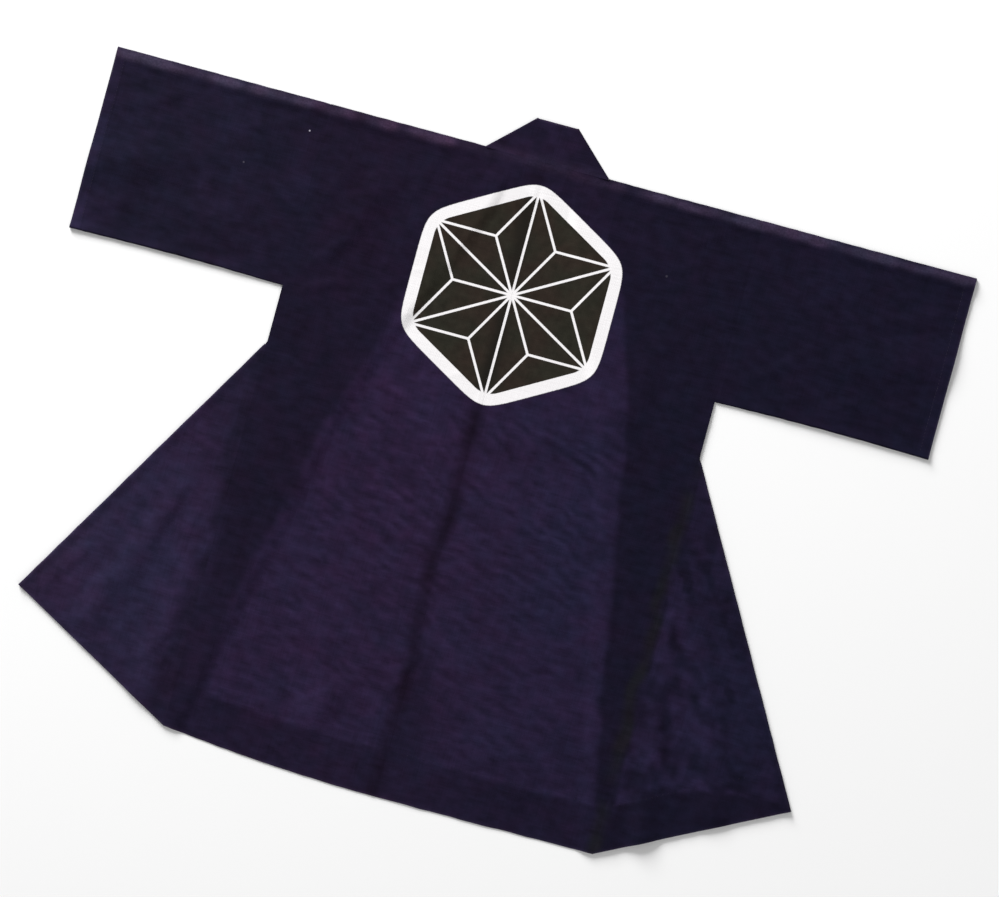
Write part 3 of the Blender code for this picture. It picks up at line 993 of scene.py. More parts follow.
def painted_highlight(side, u, y):
    """1 on folded edges and hems, where a highlight is painted."""
    x = side.sign * u
    shoulder = near(y, HIGHLIGHT_Y, HIGHLIGHT_REACH)
    for share, run in NECK_HIGHLIGHT:
        shoulder = shoulder * mix(share, 1, ease((u - NECK_HALF) / run))
    broken = np.maximum(HIGHLIGHT_TONE + rough(x, y, HIGHLIGHT_HILLS), HIGHLIGHT_LEAST)
    cuff = CUFF_HIGHLIGHT * near(u, CUFF_X, CUFF_HIGHLIGHT_REACH)
    hem = HEM_HIGHLIGHT * near(y, hem_y(side, u), HEM_HIGHLIGHT_REACH)
    return np.clip(shoulder * broken + np.where(y > UNDERARM_Y - SLEEVE_MARGIN, cuff, hem), 0, 1)


# The painted highlight of the shoulder fold.
print("wear of the shoulder fold:", at_place(painted_highlight, 0.40, HIGHLIGHT_Y))

# %% Where the dye looks bluer or redder
Patch = namedtuple("Patch", "x y reach_x reach_y blue")
PATCHES = (
    Patch(0.150, -0.090, 0.090, 0.200, 0.40),
    Patch(-0.545, 0.300, 0.080, 0.110, 0.30),
    Patch(-0.375, -0.280, 0.100, 0.150, 0.40),
    Patch(-0.500, -0.305, 0.090, 0.080, -0.45),
    Patch(-0.350, -0.050, 0.060, 0.120, -0.20),
    Patch(-0.225, 0.290, 0.090, 0.110, -0.45),
    Patch(0.420, -0.240, 0.120, 0.170, 0.30),
    Patch(0.020, 0.030, 0.110, 0.100, -0.15),
    Patch(0.020, -0.400, 0.110, 0.080, 0.45),
    Patch(0.480, -0.250, 0.070, 0.130, 0.40),
    Patch(0.265, -0.050, 0.050, 0.300, 0.22),
)
BLUE_HILLS = (Hills(0.22, 0.060, 51), Hills(0.22, 0.024, 52))
print(len(PATCHES), "patches of bluer or redder dye")


def bluish(side, u, y):
    """0 where the dye looks reddest and 1 where it looks bluest."""
    x = side.sign * u
    blue = 0.5 + rough(x, y, *BLUE_HILLS)
    for patch in PATCHES:
        away = np.hypot((x - patch.x) / patch.reach_x, (y - patch.y) / patch.reach_y)
        blue = blue + patch.blue * hump(np.minimum(away, 1))
    return np.clip(blue, 0, 1)


print("blue of the gores:", at_place(bluish, 0.40, -0.25))

# %% [markdown]
# ## Building a sheet
#
# Each piece is a grid of points. A plane could be subdivided and pushed about, but the pieces
# fold over onto themselves, and a grid can follow the fold: up the back, round the shoulder in a
# tight half turn, and down the front. Solidify then gives the grid the cloth's own thickness.

# %% Places of the points along a row
COARSE = 0.0030
FINE_CELLS = (0.0003, 0.0012)


def spaced(start, end, step=COARSE):
    """Places from start to end, closer together next to both ends."""
    inner = np.linspace(start, end, max(2, round(abs(end - start) / step)) + 1)[1:-1]
    way = math.copysign(1, end - start)
    head = [start + way * fine for fine in (0, *FINE_CELLS)]
    tail = [end - way * fine for fine in (*reversed(FINE_CELLS), 0)]
    return np.array([*head, *inner, *tail])


print("a row one decimetre long has", len(spaced(0, 0.1)), "points")

# %% Round a folded edge
FOLD_DEPTH = 0.0022
TURN_STEPS = 10


def half_turn(outer_x, outer_y, out_x, out_y, low, high):
    """Points round a fold from its upper layer to its lower one, inside its outermost line."""
    angle = np.linspace(0, math.pi, TURN_STEPS + 1)
    radius = (high - low)[..., None] / 2
    reach = radius + SHELL / 2
    out = radius * np.sin(angle) - reach
    x = outer_x[..., None] + out_x * out
    y = outer_y[..., None] + out_y * out
    z = (high + low)[..., None] / 2 + radius * np.cos(angle)
    return np.stack([x, y, z], axis=-1)


# %% A grid to a shell of cloth
def cloth_object(name, points, marks, ring=False):
    """A mesh of square cells from an array of points, columns by rows by three. A point that is
    not a number leaves a hole. The marks are kept with the points."""
    there = ~np.isnan(points[..., 0])
    number = np.full(there.shape, -1)
    number[there] = np.arange(there.sum())
    first = np.concatenate([number, number[:1]]) if ring else number
    cells = np.stack([first[:-1, :-1], first[1:, :-1], first[1:, 1:], first[:-1, 1:]], axis=-1)
    cells = cells[(cells >= 0).all(axis=-1)]
    mesh = bpy.data.meshes.new(name)
    mesh.from_pydata(points[there].tolist(), [], cells.tolist())
    mesh.shade_smooth()
    edge_of = np.zeros(len(mesh.loops), dtype=np.int32)
    mesh.loops.foreach_get("edge_index", edge_of)
    border = np.bincount(edge_of, minlength=len(mesh.edges)) == 1
    mesh.attributes.new("sharp_edge", "BOOLEAN", "EDGE").data.foreach_set("value", border)
    for mark, values in marks.items():
        kept = mesh.attributes.new(mark, "FLOAT", "POINT")
        kept.data.foreach_set("value", np.broadcast_to(values, there.shape)[there].astype(np.float32))
    made = in_scene(name, mesh)
    wall = made.modifiers.new("cloth", "SOLIDIFY")
    wall.thickness = SHELL
    wall.offset = 0
    print(name, "has", 4 * len(cells), "triangles")
    return made


# %% Marks of a piece
UNSEEN_TONE = 0.9


def marks_of(side, painted_shade, u, y, upper):
    """The marks of a piece: upper is 1 where the cloth is in the upper layer."""
    return {
        # Painted light and shade, seam shade, olive painted shadow and painted highlights, then hue
        # and print.
        "painted_shade": mix(UNSEEN_TONE, painted_shade(side, u, y), upper),
        "seam_shade": seam_shade(side, u, y) * upper,
        "olive_seam_shadow": olive_seam_shadow(side, u, y) * upper,
        "painted_highlight": painted_highlight(side, u, y),
        "bluish": bluish(side, u, y),
        "printed": upper,
    }


# %% [markdown]
# ## Bodies
#
# Each body is one length of cloth. Its columns run from the back's hem to the shoulder. Those
# inside the neck end there, at the seam with the collar, and the others go round the fold and
# down the front, which swings outwards to a slanting side edge.

# %% Outline of the fronts
TOP_INSET = 0.0017


def seam_point(side, down):
    """Point on the seam between collar and front, a share of the way down."""
    hem = hem_y(side, FRONT_EDGE[-1].seam) + HEM_INSET
    return from_table(FRONT_EDGE, "seam", down), mix(NECK_Y, hem, down)


def free_point(side, down):
    """Point on the collar's free edge, a share of the way down."""
    hem = hem_y(side, FRONT_EDGE[-1].free) + HEM_INSET
    return from_table(FRONT_EDGE, "free", down), mix(TOP_Y - TOP_INSET, hem, down)


def front_corner(side):
    """Where the front's side edge meets its hem."""
    x = mix(SIDE_X, side.corner_x, FRONT_HEM_SHARE)
    return x, float(hem_y(side, x)) + HEM_INSET


def front_side(side, down):
    """The side edge of a front: straight to the gore's point, then slanting out."""
    corner_x, corner_y = front_corner(side)
    y = mix(NECK_Y, corner_y, down)
    share = np.maximum(0, (GORE_POINT_Y - y) / (GORE_POINT_Y - corner_y))
    return mix(SIDE_X, corner_x, share) - SEAM_GAP / 2, y


for side in SIDES:
    print(side.name, "front ends at", [round(float(v), 3) for v in front_corner(side)])

# %% Bodies
EDGE_WAVE = 0.0005
EDGE_WAVE_SIZE = 0.03
BACK_STEP = 0.0033
FRONT_STEP = 0.008


def body(side):
    """One length of cloth from the back's hem over the shoulder to the front's hem."""
    neck = spaced(SEAM_GAP / 2, NECK_HALF + SEAM_GAP / 2)
    beyond = spaced(NECK_HALF + SEAM_GAP / 2, SIDE_X - SEAM_GAP / 2)[3:]
    u = np.concatenate([neck, beyond])
    corner = len(neck) - 1
    high = upper_z(side, u, np.full_like(u, SHOULDER_Y - FOLD_DEPTH))
    wave = EDGE_WAVE * cloud(side.sign * u, u, EDGE_WAVE_SIZE, 31)
    top = np.full_like(u, NECK_Y)
    fold_y = SHOULDER_Y - np.abs(wave[corner:])
    turn = half_turn(u[corner:], fold_y, 0, 1, LOW + 0 * fold_y, high[corner:])
    top[corner:] = turn[:, 0, 1]
    rows = spaced(0, 1, BACK_STEP / (SHOULDER_Y - HEM_Y))
    uu = np.broadcast_to(u[:, None], (len(u), len(rows)))
    yy = mix((hem_y(side, u) + wave)[:, None], top[:, None], rows)
    z = upper_z(side, uu, yy)
    z[corner:, -1] = high[corner:]
    back = np.stack([uu, yy, z], axis=-1)
    down = spaced(0, 1, FRONT_STEP / (SHOULDER_Y - HEM_Y))[3:]
    share = ((u[corner:] - u[corner]) / (u[-1] - u[corner]))[:, None]
    inner_x, inner_y = seam_point(side, down)
    outer_x, outer_y = front_side(side, down)
    front_x, front_y = mix(inner_x + SEAM_GAP / 2, outer_x, share), mix(inner_y, outer_y, share)
    front = np.stack([front_x, front_y, lower_z(front_x, front_y)], axis=-1)
    beneath = np.concatenate([turn[:, 1:], front], axis=1)
    hole = np.full((corner, beneath.shape[1], 3), np.nan)
    points = np.concatenate([back, np.concatenate([hole, beneath])], axis=1)
    upper = np.zeros(points.shape[:2])
    upper[:, : len(rows)] = 1
    upper[:, len(rows) : len(rows) + TURN_STEPS] = np.linspace(1, 0, TURN_STEPS + 1)[1:]
    at_u, at_y = np.nan_to_num(points[..., 0]), np.nan_to_num(points[..., 1])
    marks = marks_of(side, back_painted_shade, at_u, at_y, upper)
    points[..., 0] *= side.sign
    return cloth_object(f"body_{side.name}_cloth", points, marks)


bodies = {side: body(side) for side in SIDES}

# %% [markdown]
# ## Gores
#
# A gore is the triangle that gives the skirt of the coat its width. Its cloth turns under along
# the outer edge, and a narrower strip of it lies beneath, sewn to the front's slanting side.

# %% Gores
GORE_CELLS = 90
GORE_CELLS_BENEATH = 18
GORE_SEAM_SHARES = (0, 0.0015, 0.006)
RIM_HIGHLIGHT = 0.35
RIM_REACH = 0.005
LEFT_HIGHLIGHT = 0.05
LEFT_RIM_HIGHLIGHT = 0.16
LEFT_RIM_REACH = 0.040
LEFT_RIM_Y = (-0.08, -0.28)


def gore(side):
    """A triangle folded along its outer edge, with part of it beneath."""
    run = (side.corner_x - SIDE_X, side.corner_y - GORE_POINT_Y)
    length = math.hypot(*run)
    out_x, out_y = -run[1] / length, run[0] / length
    beneath_x, beneath_y = front_corner(side)
    lean = (beneath_x - SIDE_X) / (GORE_POINT_Y - beneath_y)
    rows = spaced(0, 1, BACK_STEP / length)
    outer_share = mix(GORE_START / (GORE_POINT_Y - side.corner_y), 1, rows)
    outer_x = mix(SIDE_X, side.corner_x, outer_share)
    outer_y = mix(GORE_POINT_Y, side.corner_y, outer_share)
    inner_y = mix(GORE_POINT_Y - GORE_START, side.hem_at_seam, rows)
    high = upper_z(side, outer_x - FOLD_DEPTH * out_x, outer_y - FOLD_DEPTH * out_y)
    wave = np.abs(EDGE_WAVE * cloud(outer_x, outer_y, EDGE_WAVE_SIZE, 32))
    turn = half_turn(outer_x - wave, outer_y, out_x, out_y, LOW + 0 * high, high)
    even = np.linspace(0, 1, GORE_CELLS + 1)[1:-1]
    across = np.concatenate([GORE_SEAM_SHARES, even])[:, None]
    x = mix(SIDE_X + SEAM_GAP / 2, turn[:, 0, 0], across)
    y = mix(inner_y, turn[:, 0, 1], across)
    upper = np.stack([x, y, upper_z(side, x, y)], axis=-1)
    low_y = mix(GORE_POINT_Y - GORE_START, beneath_y, rows)
    low_x = SIDE_X + lean * (GORE_POINT_Y - low_y) + SEAM_GAP / 2
    back = np.linspace(0, 1, GORE_CELLS_BENEATH + 1)[1:, None]
    x, y = mix(turn[:, -1, 0], low_x, back), mix(turn[:, -1, 1], low_y, back)
    beneath = np.stack([x, y, lower_z(x, y)], axis=-1)
    points = np.concatenate([upper, turn.transpose(1, 0, 2), beneath])
    round_edge = np.linspace(1, 0, TURN_STEPS + 1)
    above = np.concatenate([np.ones(len(upper)), round_edge, np.zeros(len(beneath))])
    marks = marks_of(side, gore_painted_shade, points[..., 0], points[..., 1], above[:, None])
    # Painted highlight along the folded outer edge; the left gore is painted lighter, most low on its
    # rim.
    inside = inside_gore(side, points[..., 0], points[..., 1])
    rim = RIM_HIGHLIGHT * hump(inside / RIM_REACH)
    if side is LEFT:
        lower = past(points[..., 1], *LEFT_RIM_Y)
        rim = rim + LEFT_HIGHLIGHT + LEFT_RIM_HIGHLIGHT * hump(inside / LEFT_RIM_REACH) * lower
    marks["painted_highlight"] = np.clip(marks["painted_highlight"] + rim, 0, 1)
    marks["printed"] = 0
    points[..., 0] *= side.sign
    return cloth_object(f"gore_{side.name}_cloth", points, marks)


gores = {side: gore(side) for side in SIDES}

# %% [markdown]
# ## Sleeves
#
# A sleeve is a flat tube, folded at the shoulder and along its lower edge and open at the cuff.
# Its lower edge bows up a few millimetres between the underarm and the cuff.

# %% Sleeves
SLEEVE_BOW = 0.002
SLEEVE_ROWS_BENEATH = 41


def sleeve(side):
    """A flat tube from the side seam to the cuff."""
    u = spaced(SIDE_X + SEAM_GAP / 2, CUFF_X)
    wave = np.abs(EDGE_WAVE * cloud(side.sign * u, u, EDGE_WAVE_SIZE, 33))
    bow = SLEEVE_BOW * np.sin(math.pi * (u - SIDE_X) / (CUFF_X - SIDE_X))
    bottom_y = UNDERARM_Y + bow + wave
    low = np.full_like(u, LOW)
    top = half_turn(u, SHOULDER_Y - wave, 0, 1, low, upper_z(side, u, SHOULDER_Y - wave - FOLD_DEPTH))
    bottom = half_turn(u, bottom_y, 0, -1, low, upper_z(side, u, bottom_y + FOLD_DEPTH))
    up = spaced(0, 1, BACK_STEP / (SHOULDER_Y - UNDERARM_Y))[1:-1, None]
    x, y = np.broadcast_to(u, (len(up), len(u))), mix(bottom[:, 0, 1], top[:, 0, 1], up)
    upper = np.stack([x, y, upper_z(side, x, y)], axis=-1)
    down = np.linspace(0, 1, SLEEVE_ROWS_BENEATH + 1)[1:-1, None]
    x, y = np.broadcast_to(u, (len(down), len(u))), mix(top[:, -1, 1], bottom[:, -1, 1], down)
    lower = np.stack([x, y, lower_z(x, y)], axis=-1)
    turns = [turn.transpose(1, 0, 2) for turn in (top, bottom[:, ::-1])]
    points = np.concatenate([upper, turns[0], lower, turns[1]])
    round_top = np.linspace(1, 0, TURN_STEPS + 1)
    above = np.concatenate([np.ones(len(upper)), round_top, np.zeros(len(lower)), round_top[::-1]])
    marks = marks_of(side, sleeve_painted_shade, points[..., 0], points[..., 1], above[:, None])
    marks["printed"] = 0
    points[..., 0] *= side.sign
    return cloth_object(f"sleeve_{side.name}_cloth", points, marks, ring=True)


sleeves = {side: sleeve(side) for side in SIDES}

# %% [markdown]
# ## Collar
#
# The collar is one long strip, folded lengthwise into two leaves. It runs up the left front,
# turns over at the slanting neck edge, crosses the back of the neck and goes down the right. The
# middle of the strip is laid out first, and each leaf is that surface moved out to one side.

# %% Middle surface of the collar
COLLAR_CLOTH = 0.0020
COLLAR_LOW = COLLAR_CLOTH / 2
COLLAR_FOLD_GAP = 0.0006
COLLAR_HIGH = COLLAR_LOW + COLLAR_CLOTH + COLLAR_FOLD_GAP
LEAF = 0.0006
COLLAR_CELLS = 16
NECK_STEPS = 40
COLLAR_SHARES = np.array([0, 0.006, 0.025, *np.linspace(0, 1, COLLAR_CELLS + 1)[1:]])
COLLAR_STEP = 0.007


def collar_half(side):
    """Sections from the hem up the front and round the fold at the neck, seam to free edge."""
    across = COLLAR_SHARES
    down = spaced(0, 1, COLLAR_STEP / (NECK_Y - HEM_Y))[:0:-1]
    seam_x, seam_y = seam_point(side, down)
    free_x, free_y = free_point(side, down)
    x = mix((seam_x - SEAM_GAP / 2)[:, None], free_x[:, None], across)
    y = mix(seam_y[:, None], free_y[:, None], across)
    front = np.stack([x, y, COLLAR_LOW + 0 * x], axis=-1)
    run = (COLLAR_TOP_HALF - NECK_HALF, TOP_Y - SHOULDER_Y)
    length = math.hypot(*run)
    out_x, out_y = run[1] / length, -run[0] / length
    radius = (COLLAR_HIGH - COLLAR_LOW) / 2
    reach = radius + COLLAR_CLOTH / 2
    slide = (NECK_Y + SEAM_GAP - SHOULDER_Y + out_y * reach) / run[1]
    line_x = mix(mix(NECK_HALF, COLLAR_TOP_HALF, slide), COLLAR_TOP_HALF, across)
    line_y = mix(mix(SHOULDER_Y, TOP_Y, slide), TOP_Y, across)
    angle = np.linspace(math.pi, 0, 2 * TURN_STEPS + 1)[:, None]
    out = radius * np.sin(angle) - reach
    level = COLLAR_LOW + radius + radius * np.cos(angle) + 0 * across
    square = out_y * reach * (1 - angle / math.pi) * across**2
    fold = np.stack([line_x + out_x * out, line_y + out_y * out + square, level], axis=-1)
    sections = np.concatenate([front, fold])
    sections[..., 0] *= side.sign
    return sections


def collar_middle():
    """Both halves, joined across the back of the neck."""
    left, right = collar_half(LEFT), collar_half(RIGHT)
    share = np.linspace(0, 1, NECK_STEPS + 1)[1:-1, None, None]
    neck = mix(left[-1], right[-1], share)
    return np.concatenate([left, neck, right[::-1]])


print("collar", len(collar_middle()), "sections long and", len(COLLAR_SHARES), "points wide")

# %% Look of the collar
COLLAR_TONE = 0.90
COLLAR_HILLS = Hills(0.25, 0.016, 42)
COLLAR_PALE = 0.25
COLLAR_PALE_X = 0.06
COLLAR_PALE_Y = (SHOULDER_Y + 0.018, 0.028)
COLLAR_BLUE = 0.40
COLLAR_BLUE_HILLS = Hills(0.30, 0.022, 53)
COLLAR_TOP_HIGHLIGHT = 0.45
COLLAR_TOP_REACH = 0.004
COLLAR_BASE_HIGHLIGHT = 0.25
COLLAR_BASE_REACH = 0.012


def collar_marks(x, y):
    """The marks of the collar, which is double and folded double again: painted shade,
    paler near the back of the neck, and painted highlights on its folded top and its base.
    """
    lighter = COLLAR_PALE * near(y, *COLLAR_PALE_Y) * hump(x / COLLAR_PALE_X)
    top, base = near(y, TOP_Y, COLLAR_TOP_REACH), near(y, SHOULDER_Y, COLLAR_BASE_REACH)
    return {
        "painted_shade": np.clip(COLLAR_TONE - lighter + rough(x, y, COLLAR_HILLS), 0, 1),
        "seam_shade": 0,
        "olive_seam_shadow": 0,
        "painted_highlight": COLLAR_TOP_HIGHLIGHT * top + COLLAR_BASE_HIGHLIGHT * base,
        "bluish": COLLAR_BLUE + rough(x, y, COLLAR_BLUE_HILLS),
        "printed": 0,
    }


# %% Two leaves and the fold between them
TIP_STEPS = 8
LEAF_MARGIN = 0.0002
COLLAR_LIFT = Hills(0.00025, 0.020, 41)
LIFT_FROM = (SHOULDER_Y + 0.001, SHOULDER_Y + 0.005)


def unit(vectors):
    return vectors / np.linalg.norm(vectors, axis=-1, keepdims=True)


def collar():
    """Both leaves of the folded strip, joined round the free edge."""
    middle = collar_middle()
    along = unit(np.gradient(middle, axis=0))
    across = unit(np.gradient(middle, axis=1))
    normal = unit(np.cross(along, across))
    out = unit(np.cross(normal, along))
    out *= np.sign((out * across).sum(axis=-1, keepdims=True))
    angles = np.linspace(0, math.pi, TIP_STEPS + 1)[1:-1]
    centre = middle[:, -1] - out[:, -1] * (LEAF + SHELL / 2)
    up, away = LEAF * normal[:, -1], LEAF * out[:, -1]
    tip = [centre + math.cos(angle) * up + math.sin(angle) * away for angle in angles]
    inner = middle.copy()
    inner[:, -1] = centre
    order = range(len(COLLAR_SHARES))
    leaf = [inner[:, i] + LEAF * normal[:, i] for i in order]
    back_leaf = [inner[:, i] - LEAF * normal[:, i] for i in reversed(order)]
    points = np.stack([*leaf, *tip, *back_leaf])
    x, y = points[..., 0], points[..., 1]
    lift = (COLLAR_LIFT.rise + rough(x, y, COLLAR_LIFT)) * past(y, *LIFT_FROM)
    points[..., 2] += np.where(points[..., 2] > COLLAR_HIGH - LEAF - LEAF_MARGIN, lift, 0)
    return cloth_object("collar_cloth", points, collar_marks(x, y))


collar_piece = collar()

# %% [markdown]
# ## Stitches
#
# The cuffs have a line of running stitch, and the hem is held by small catching stitches that
# show as pricks on the right side. Drawn in the finish they would be flat from close by, so each
# is a small closed lens of thread, and those of one piece are joined in one mesh.

# %% One stitch
THREAD = 0.00042
STITCH_RINGS = (-0.36, 0.0, 0.36)
STITCH_POINTED = 1.7
STITCH_SINK = 0.3
THREAD_SIDES = 6


def lens(length):
    """Points and faces of one stitch that lies along X."""
    turns = [2 * math.pi * i / THREAD_SIDES for i in range(THREAD_SIDES)]
    points = [(-length / 2, 0, -THREAD * STITCH_SINK)]
    for ring in STITCH_RINGS:
        swell = THREAD / 2 * math.sqrt(1 - (STITCH_POINTED * ring) ** 2)
        points += [(ring * length, swell * math.cos(t), swell * math.sin(t)) for t in turns]
    points.append((length / 2, 0, -THREAD * STITCH_SINK))
    faces = []
    last = len(points) - 1
    for i in range(THREAD_SIDES):
        j = (i + 1) % THREAD_SIDES
        faces.append((0, 1 + j, 1 + i))
        for ring in range(len(STITCH_RINGS) - 1):
            a, b = 1 + ring * THREAD_SIDES, 1 + (ring + 1) * THREAD_SIDES
            faces.append((a + i, a + j, b + j, b + i))
        a = 1 + (len(STITCH_RINGS) - 1) * THREAD_SIDES
        faces.append((last, a + i, a + j))
    return np.array(points), faces


print("a stitch has", len(lens(THREAD)[1]), "faces")

# %% A line of stitches
def stitch_line(side, path, pitch, length):
    """Stitches along a path of (u, y) points on the upper layer, as a list of placed lenses."""
    path = np.array(path)
    runs = np.hypot(*np.diff(path, axis=0).T)
    far = np.concatenate([[0], np.cumsum(runs)])
    placed = []
    for at in np.arange(pitch, far[-1] - pitch, pitch):
        u, y = (np.interp(at, far, column) for column in path.T)
        ahead_u, ahead_y = (np.interp(at + pitch / 4, far, column) for column in path.T)
        turn = math.atan2(ahead_y - y, side.sign * (ahead_u - u))
        z = float(upper_z(side, np.array([u]), np.array([y]))[0]) + SHELL / 2
        placed.append((side.sign * u, y, z, turn, length))
    return placed


def stitches(name, placed):
    """One mesh of all the stitches of a piece."""
    points, faces = [], []
    for x, y, z, turn, length in placed:
        shape, sides = lens(length)
        c, s = math.cos(turn), math.sin(turn)
        moved = shape @ np.array([[c, s, 0], [-s, c, 0], [0, 0, 1]]) + (x, y, z)
        faces += [tuple(len(points) + corner for corner in face) for face in sides]
        points += moved.tolist()
    mesh = bpy.data.meshes.new(name)
    mesh.from_pydata(points, [], faces)
    mesh.shade_smooth()
    print(name, "has", len(placed), "stitches")
    return in_scene(name, mesh)


# %% Stitch the hems and the cuffs
PRICK_PITCH = 0.0075
PRICK = 0.0012
RUNNING_PITCH = 0.0046
RUNNING = 0.0028
CUFF_LINE = 0.0135
CUFF_END = 0.006
HEM_END = 0.004
HEM_LINE = HEM_BAND - 0.003
CORNER_END = 0.045
HEM_POINTS = 40


def hem_path(side, start, end):
    """The line of the hem's stitches from one distance to another."""
    u = np.linspace(start, end, HEM_POINTS)
    return np.stack([u, hem_y(side, u) + HEM_LINE], axis=-1)


body_threads, gore_threads, sleeve_threads = {}, {}, {}
for side in SIDES:
    line = stitch_line(side, hem_path(side, HEM_END, SIDE_X - HEM_END), PRICK_PITCH, PRICK)
    body_threads[side] = stitches(f"body_{side.name}_stitches", line)
    path = hem_path(side, SIDE_X + HEM_END, side.corner_x - CORNER_END)
    line = stitch_line(side, path, PRICK_PITCH, PRICK)
    gore_threads[side] = stitches(f"gore_{side.name}_stitches", line)
    cuff = [(CUFF_X - CUFF_LINE, y) for y in (UNDERARM_Y + CUFF_END, SHOULDER_Y - CUFF_END)]
    line = stitch_line(side, cuff, RUNNING_PITCH, RUNNING)
    sleeve_threads[side] = stitches(f"sleeve_{side.name}_stitches", line)

# %% [markdown]
# ## Finishes
#
# The cloth is a plain-woven cotton, dyed dark indigo. A painted gradient of light makes it lean to
# purple on the left and to blue on the right, where less light falls. Its threads vary in
# thickness, so the tone wavers along them, and the nap gives a faint sheen. An image of cloth
# could carry all that, but a finish made of nodes stays sharp from close by and needs no file.

# %% Weave
PITCH = 0.0011
THREAD_WANDER = 0.0004
WANDER_SCALE = 260
print("a thread every", round(PITCH * 1000, 2), "mm")


def weave(finish, place):
    """Height of crossing threads, from -1 to 1, over cells that waver a little."""
    wander = finish.speckle(place, WANDER_SCALE) - 0.5
    x = finish.axis(place, "X") + wander * THREAD_WANDER
    y = finish.axis(place, "Y") + wander * THREAD_WANDER
    return (x * (math.pi / PITCH)).sine() * (y * (math.pi / PITCH)).sine()


# %% Colours of the dye, and of the painted light, shade and highlights
# Painted light: single cloth lit through by the floor, double cloth darker.
SINGLE = (0.0190, 0.0110, 0.0348)
DOUBLE = (0.0086, 0.0055, 0.0169)
# Painted shade of the centre seam, olive painted shadow of the side seam, painted highlight.
SEAM_SHADE_COLOUR = (0.0076, 0.0039, 0.0125)
OLIVE_SHADOW_COLOUR = (0.0102, 0.0078, 0.0128)
HIGHLIGHT_COLOUR = (0.0520, 0.0310, 0.0650)
HIGHLIGHT_SHARE = 0.9
# Painted light from left to right: tone and hue change with how the light falls across the coat.
PAINTED_LIGHT_ACROSS = (
    (0.00, (0.94, 1.17, 1.05)),
    (0.14, (0.94, 1.14, 1.04)),
    (0.30, (1.00, 1.01, 1.01)),
    (0.44, (1.06, 1.07, 1.07)),
    (0.56, (0.95, 1.01, 1.00)),
    (0.64, (0.83, 0.98, 0.96)),
    (1.00, (0.78, 0.97, 0.96)),
)
STRONGEST = max(max(colour) for _, colour in PAINTED_LIGHT_ACROSS)
BLUISH = (0.87, 1.10, 1.04)
REDDISH = (1.13, 0.91, 0.97)
print("single cloth is", round(sum(SINGLE) / sum(DOUBLE), 2), "times as light as double")

# %% How evenly the dye has taken
Noise = namedtuple("Noise", "scale stretch detail")
# Breaks in the painted highlight.
HIGHLIGHT_BREAKS = Noise(420, (1, 1, 1), 3)
HUE = Noise(55, (1, 1, 1), 3)
HUE_SPREAD = 1.2
WARP = Noise(520, (1, 0.05, 1), 2)
WEFT = Noise(520, (0.05, 1, 1), 2)
BLOTCH = Noise(60, (0.8, 1.5, 1), 4)
WASH = Noise(9, (1, 1, 1), 2)
THREAD_SHADE = 0.34
BLOTCH_SHADE = 1.12
WASH_SHADE = 0.30
LEAST_SHADE = 0.050


def dyed(finish, place):
    """Colour of the cloth before the print, with its painted light, shade and highlights."""
    # Painted light, shade and highlights, read from the marks of the mesh.
    tone = finish.colours(finish.mark("painted_shade"), SINGLE, DOUBLE)
    tone = finish.colours(finish.mark("seam_shade"), tone, SEAM_SHADE_COLOUR)
    tone = finish.colours(finish.mark("olive_seam_shadow"), tone, OLIVE_SHADOW_COLOUR)
    highlit = finish.mark("painted_highlight") * (finish.speckle(place, *HIGHLIGHT_BREAKS) * 1.2 + 0.1)
    tone = finish.colours(highlit * HIGHLIGHT_SHARE, tone, HIGHLIGHT_COLOUR)
    # Painted light across the coat from left to right.
    across = finish.axis(place, "X") / (2 * CUFF_X) + 0.5
    stops = [(at, tuple(v / STRONGEST for v in colour)) for at, colour in PAINTED_LIGHT_ACROSS]
    light_tint = finish.node("ShaderNodeValToRGB", {"Fac": across}, stops=stops)
    tone = finish.colours(1, tone, light_tint, "MULTIPLY")
    hue = finish.mark("bluish") + (finish.speckle(place, *HUE) - 0.5) * HUE_SPREAD
    tone = finish.colours(1, tone, finish.colours(hue, REDDISH, BLUISH), "MULTIPLY")
    warp, weft = finish.speckle(place, *WARP), finish.speckle(place, *WEFT)
    blotch, wash = finish.speckle(place, *BLOTCH), finish.speckle(place, *WASH)
    shade = warp * THREAD_SHADE + weft * THREAD_SHADE + blotch * BLOTCH_SHADE + wash * WASH_SHADE
    return finish.scaled(tone, (shade - LEAST_SHADE) * STRONGEST)


# %% [markdown]
# ## The emblem
#
# The back carries a large dark emblem with a broad white edge, dyed into the cloth. This one is
# a rounded hexagon filled with one star of the hemp-leaf lattice, an old pattern of triangles
# with lines from their corners to their middles. It could be drawn with a texture, but its
# geometry is so regular that arithmetic draws it: the distance from three families of lines.

# %% Sizes and inks of the emblem
EMBLEM_Y = 0.231
EMBLEM_HALF = 0.139
BORDER = 0.0145
CELL = EMBLEM_HALF - BORDER
LINE = 0.0034
SOFT = 0.0006
ROUNDING = 14
BROWN_BLACK = (0.0242, 0.0170, 0.0132)
GREEN_BLACK = (0.0198, 0.0188, 0.0136)
SEAM_SHADE_BLACK = (0.0115, 0.0100, 0.0080)
WHITE = (0.83, 0.81, 0.82)
HALF_LINES = (0, math.pi / 3, 2 * math.pi / 3)
LATTICE_LINES = (0, 2 * math.pi / 3, 4 * math.pi / 3)
DOWNWARD = (1.4999, 1.5001)
BLEED = Noise(900, (1, 1, 1), 2)
BLEED_WIDTH = 0.0012
INK_TURN = Noise(16, (1, 1, 1), 4)
INK_ENDS = (0.36, 0.64)
INK_WEAR = Noise(90, (1, 1, 1), 4)
print("emblem", round(2 * EMBLEM_HALF, 3), "m from side to side, edged", BORDER, "m wide")

# %% Hexagon and hemp-leaf lattice
def slanted(x, y, angle):
    """Distance along a direction."""
    return x * math.cos(angle) + y * math.sin(angle)


